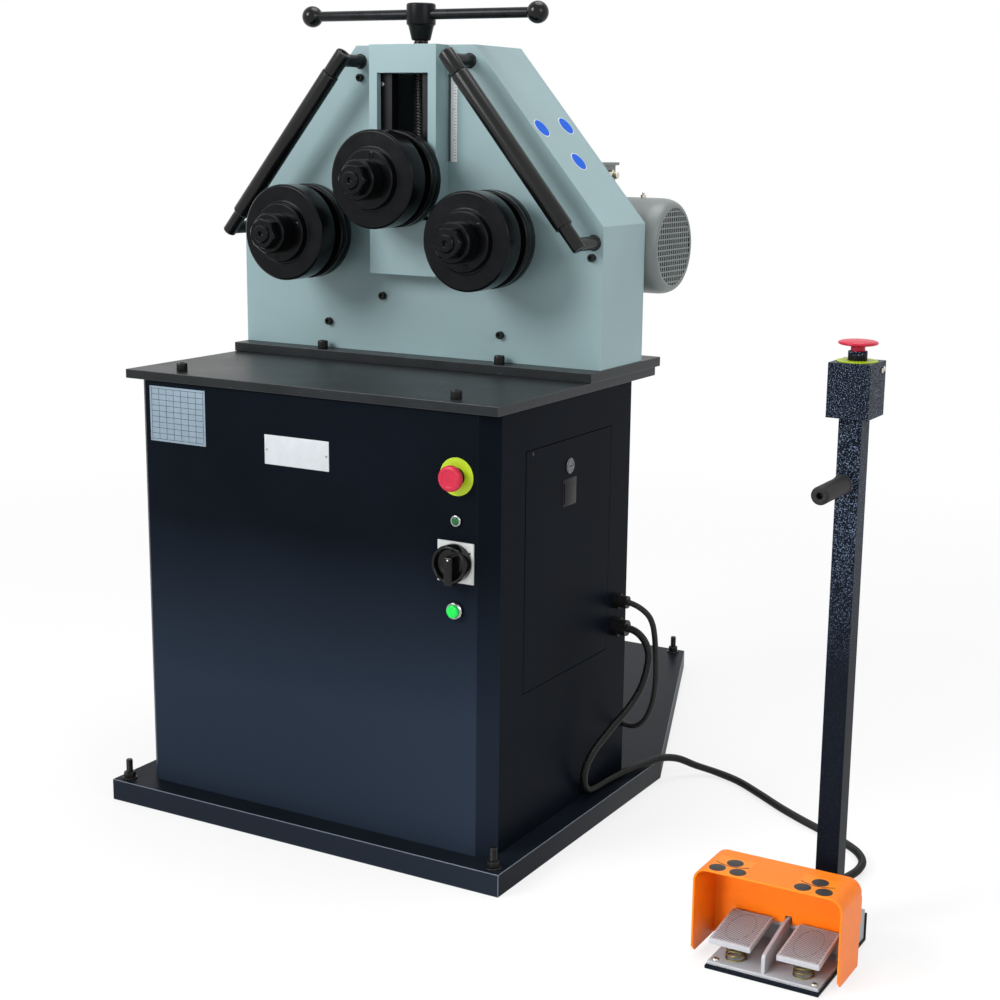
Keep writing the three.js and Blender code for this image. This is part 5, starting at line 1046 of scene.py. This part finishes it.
# %% Springs
TURNS, TURN_STEPS, FLAT_TURNS, WIRE, COIL_R, TAPER = 5, 28, 0.7, 2.6, 14.6, 2.4
FURTHER_BACK, PRESSED = 9, 0.48
for side in ("left", "right"):
    bottom, top = (corner[2] for corner in box_mm(side + "_spring"))
    x, y = middle(side + "_spring", 0), middle(side + "_spring", 1) + FURTHER_BACK
    line = []
    for i in range(TURNS * TURN_STEPS + 1):
        t = i / (TURNS * TURN_STEPS)
        climb = min(1, max(0, (t * TURNS - FLAT_TURNS) / (TURNS - 2 * FLAT_TURNS)))
        r, angle = COIL_R - TAPER * t, t * TURNS * math.tau
        line.append(Vector((x + r * math.cos(angle), y + r * math.sin(angle),
                            bottom + WIRE / 2 + (top - bottom - WIRE) * climb)))
    coil = Shape().tube(line, WIRE / 2, 10).done(
        side + "_coil", "machine", "zinc", yellow_zinc, side + "_spring")
    x * MM
    y * MM
    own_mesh(coil)
print("springs", round(top - bottom, 1), "mm high")

# %% [markdown]
# The base is a thin casting on a black plate, and it is held by zinc screws in its corners. A fin with a tall
# front stands between the pedals, so that a foot can't slip from one to the other.

# %% Base of the foot switch
PLATE_TOP, SCREW_INSET, FIN_HALF, PEDAL_BAY = 10.5, 9, 2.8, 76
foot_low, foot_high = box_mm("foot_base")
screws = Shape()
for x in (foot_low[0] + SCREW_INSET, foot_high[0] - SCREW_INSET):
    y, z = foot_low[1] + SCREW_INSET, PLATE_TOP
    screws.turned([(4.6, -1), (4.6, 0.6), (3.4, 1.9), (0, 2.3)], "z", (x, y, z), 32, 0.5)
    for a, b in ((3, 0.55), (0.55, 3)):
        screws.block((x - a, y - b, z + 1.7), (x + a, y + b, z + 2.4), 0.15, finish=1)
_, (box_side, box_rear, box_top) = box_mm("stop_box")
for from_rear, drop in ((19, 27), (11, 25)):
    screws.rod(7, -0.5, 2.2, "x", (box_side, box_rear - from_rear, box_top - drop), 32, 0.7)
screws.done("zinc_screws", "machine", "zinc", [zinc_steel, mark_black])

base_top = Shape().block((foot_low[0], foot_low[1] - 0.4, 5.3),
                         (foot_high[0], foot_high[1] - PEDAL_BAY, PLATE_TOP), 1.1, segments=3)
FIN_X, fin = (foot_low[0] + foot_high[0]) / 2, foot_low[1] + 2
base_top.prism([(fin, 8), (fin, 34), (fin + 3, 38), (fin + 82, 56), (fin + 90, 55), (fin + 90, 8)], "x",
               FIN_X - FIN_HALF, FIN_X + FIN_HALF, 0.9, segments=3)
base_top.done("base_top", "machine", "cast_alloy", pedal_paint)
print("base", round(foot_high[0] - foot_low[0]), "mm wide")

# %% [markdown]
# The orange guard is moulded in one piece. A skirt closes its rear wall down to the pedals' arms, with a gap
# at the fin. The marks on its top are plain dots and a bent line, the sign for three rolls and a bar.

# %% Guard
(hood_left, hood_front, _), (hood_right, _, hood_top) = box_mm("foot_hood")
WALL_REAR, WALL_TOP, BESIDE, OVER_ARM, BETWEEN, ARM_BAY, FIN_GAP = hood_front + 82, 62, 20, 50.3, 44, 57, 5
DOT, DOTS, SIGN_HALF, SIGN_FRONT, SIGN_REAR = 12, ((-15.5, 15), (1, 41), (16, 14)), 27, 2, 58
skirt = Shape()
for left, right, low_edge in (
        (hood_left + 1, foot_low[0] + 2, BESIDE), (foot_low[0] + 1.5, foot_low[0] + ARM_BAY, OVER_ARM),
        (foot_low[0] + ARM_BAY - 0.5, FIN_X - FIN_GAP, BETWEEN),
        (FIN_X + FIN_GAP, foot_high[0] - ARM_BAY + 0.5, BETWEEN),
        (foot_high[0] - ARM_BAY, foot_high[0] - 1.5, OVER_ARM), (foot_high[0] - 2, hood_right - 1, BESIDE)):
    skirt.block((left, WALL_REAR - 2.8, low_edge), (right, WALL_REAR - 0.2, WALL_TOP), 0.5)
skirt.done("guard_skirt", "machine", "orange_plastic", orange_guard)

marks = Shape()
for x in (hood_left + 46, hood_right - 48):
    marks.block((x - SIGN_HALF, hood_front + SIGN_FRONT, hood_top),
                (x + SIGN_HALF, hood_front + SIGN_REAR, hood_top + 0.15), 0, finish=1)
    for dx, dy in DOTS:
        marks.turned([(DOT, 0), (DOT, 0.35), (0, 0.4)], "z", (x + dx, hood_front + dy, hood_top), 48, 0.1)
    bow = [(2.5 * i - 25, 27 + 8 * (i / 10 - 1) ** 2) for i in range(21)]
    marks.tube([Vector((x + dx, hood_front + dy, hood_top + 0.2)) for dx, dy in bow], 0.6, 6)
marks.done("guard_marks", "machine", "black_plastic", [mark_black, sign_orange])
print("guard", round(hood_right - hood_left), "mm wide")

# %% [markdown]
# ## Screws, bolts and studs
# The head is held by socket screws, the table and the slab by large cap screws, and the tray by studs that
# are cast in the floor: each has a washer, a nut and a free thread above it.

# %% Fasteners


def cap_screw(shape, diameter, height, place, axis="z"):
    """A cylinder head with a socket. Its foot is at the place, and it points up, or to the front along Y."""
    r, sign = diameter / 2, 1 if axis == "z" else -1
    line = [(r, 0), (r, 0.86 * height), (0.9 * r, height), (0.58 * r, height), (0.5 * r, height - 0.4),
            (0.5 * r, 0.45 * height)]
    shape.turned([(a, sign * b) for a, b in line], axis, place, 30, 0.25)


HEAD_FACE, STUD, STUD_PITCH = 90, 11.8, 1.75
table, slab, tray = (box_mm(node)[1][2] for node in ("table_plate", "head_plate", "base_tray"))
fasteners = Shape()
for place in ((-266, -204, table), (266, -204, table), (-180, 72, slab), (180, 72, slab)):
    cap_screw(fasteners, 18, 14, place)
for x, z in ((-107.5, 1233), (-63.4, 867), (-177, 816), (172, 815), (341, 951)):
    cap_screw(fasteners, 13, 8, (x, HEAD_FACE, z), "y")
fasteners.done("cap_screws", "machine", "black_oxide", black_bolt)

studs = Shape()
for x, y in ((-367, -253), (367, -253), (-129, 930), (129, 930)):
    studs.turned([(13, -1), (13, 1.8), (12, 2.4)], "z", (x, y, tray), 40, 0.4)
    studs.nut(18, 2.3, 12, "z", (x, y, tray), turn=0.3)
    studs.thread(STUD, tray + 11, tray + 34, STUD_PITCH, (x, y, 0), steps=24)
studs.done("anchor_studs", "machine", "black_oxide", black_bolt)

way_screw = Shape().turned([(4, 70), (4, 67), (3, 66.2)], "y", (-49, 0, 1222), 24, 0.3)
way_screw.done("way_screw", "machine", "ground_steel", bright_steel)
print("fasteners")

# %% [markdown]
# ## Plates, scale and discs
# A rule beside the column shows how far the upper roll has moved. The two plates on the cabinet are thin
# metal, and the chart has a printed grid. Three plain blue discs sit on the slope.

# %% Plates
RULE_X, RULE_TOP, RULE_LONG, RULE_WIDE = 72.4, 1232.6, 135.6, 12
rule = Shape().block((RULE_X, HEAD_FACE - 0.8, RULE_TOP - RULE_LONG),
                     (RULE_X + RULE_WIDE, HEAD_FACE, RULE_TOP), 0.15)
for i in range(1, 27):
    long = 6.5 if i % 10 == 0 else 4.8 if i % 5 == 0 else 3
    z, end = RULE_TOP - i * 5, RULE_X + RULE_WIDE - 1
    rule.block((end - long, HEAD_FACE - 0.95, z - 0.35), (end, HEAD_FACE - 0.7, z + 0.35), 0, finish=1)
rule.done("travel_rule", "machine", "grey_plastic", [label_white, mark_black])

LEFT, RIGHT, BOTTOM, TOP = -312, -196, 637, 729
COLUMNS, ROWS, EDGE, LINE, RIVET = 7, 9, 4, 0.3, 2.6
chart = Shape().block((LEFT, PANEL - 0.8, BOTTOM), (RIGHT, PANEL, TOP), 0.2)
for i in range(COLUMNS + 1):
    x = LEFT + EDGE + (RIGHT - LEFT - 2 * EDGE) * i / COLUMNS
    chart.block((x - LINE, PANEL - 0.95, BOTTOM + EDGE), (x + LINE, PANEL - 0.7, TOP - EDGE), 0, finish=1)
for j in range(ROWS + 1):
    z = BOTTOM + EDGE + (TOP - BOTTOM - 2 * EDGE) * j / ROWS
    chart.block((LEFT + EDGE, PANEL - 0.95, z - LINE), (RIGHT - EDGE, PANEL - 0.7, z + LINE), 0, finish=1)
for x in (LEFT + RIVET, RIGHT - RIVET):
    for z in (BOTTOM + RIVET, TOP - RIVET):
        chart.rod(RIVET, -1.4, -0.6, "y", (x, PANEL, z), 16, 0.3, finish=2)
chart.done("chart_plate", "machine", "zinc", [chart_silver, mark_black, bright_steel])

LEFT, RIGHT, BOTTOM, TOP = -75.5, 50, 622, 670
name = Shape().block((LEFT, PANEL - 1.2, BOTTOM), (RIGHT, PANEL, TOP), 0.4)
for x in (LEFT + 4.5, RIGHT - 4.5):
    name.turned([(2.2, -1), (1.8, -2), (0, -2.4)], "y", (x, PANEL, (BOTTOM + TOP) / 2), 20, 0.3, finish=1)
name.done("blank_plate", "machine", "zinc", [name_silver, bright_steel])

SLOPE, DISC, DISC_BLUE = Vector((285, 0, 243)), 17.6, 16.3
tilt = SLOPE.to_track_quat("Z", "Y").to_matrix()
discs = Shape()
for place in ((229.7, 116.9, 1154), (226.4, 205.9, 1158), (275, 162, 1101)):
    discs.turned([(DISC, -0.3), (DISC, 0.15), (DISC - 0.8, 0.2)], centre=place, steps=COARSE, turn=tilt,
                 ease=0.1)
    discs.turned([(DISC_BLUE, 0), (DISC_BLUE, 0.35)], centre=place, steps=COARSE, turn=tilt, ease=0, finish=1)
discs.done("slope_discs", "machine", "grey_plastic", [label_white, label_blue])
print("plates")

# %% [markdown]
# ## The door's fittings
# The lock is a chromed barrel with a slotted core, and a flat cam behind the sheet. Below it a moulded pull
# is let into the door.

# %% Door fittings
LOCK_Y, LOCK_Z, CAM_LONG = 12, box_mm("door_lock")[1][2] - 13, 52
barrel = Shape().turned([(7.9, 331), (7.9, 348.2), (13, 348.2), (13, 349.4), (10.5, 351), (8, 351),
                         (7.6, 350.2)], "x", (0, LOCK_Y, LOCK_Z), COARSE, 0.5)
barrel.block((350, LOCK_Y - 5, LOCK_Z - 0.9), (350.5, LOCK_Y + 5, LOCK_Z + 0.9), 0.1, finish=1)
barrel.block((331, LOCK_Y, LOCK_Z - 6), (332.9, LOCK_Y + CAM_LONG, LOCK_Z + 6), 0.4)
barrel.done("lock_barrel", "lock", "chrome", [dark_chrome, mark_black], "door_lock")

FRONT, REAR, BOTTOM, TOP = -11, 35, 559, 604
pull = Shape().block((SIDE - 1.5, FRONT, BOTTOM), (SIDE + 0.6, REAR, TOP), 0.5)
pull.prism([(FRONT + 4, BOTTOM + 4), (REAR - 4, BOTTOM + 4), (REAR - 4, TOP - 16), (FRONT + 4, TOP - 7)], "x",
           SIDE + 0.3, SIDE + 1.8)
pull.done("door_pull", "door", "black_plastic", satin_black)
door_screw = Shape().turned([(3.2, -0.5), (3.2, 0.3), (2, 0.7), (0, 0.8)], "x", (SIDE, -111, 662), 28, 0.3)
door_screw.done("door_screw", "door", "black_oxide", black_bolt)
print("door fittings")
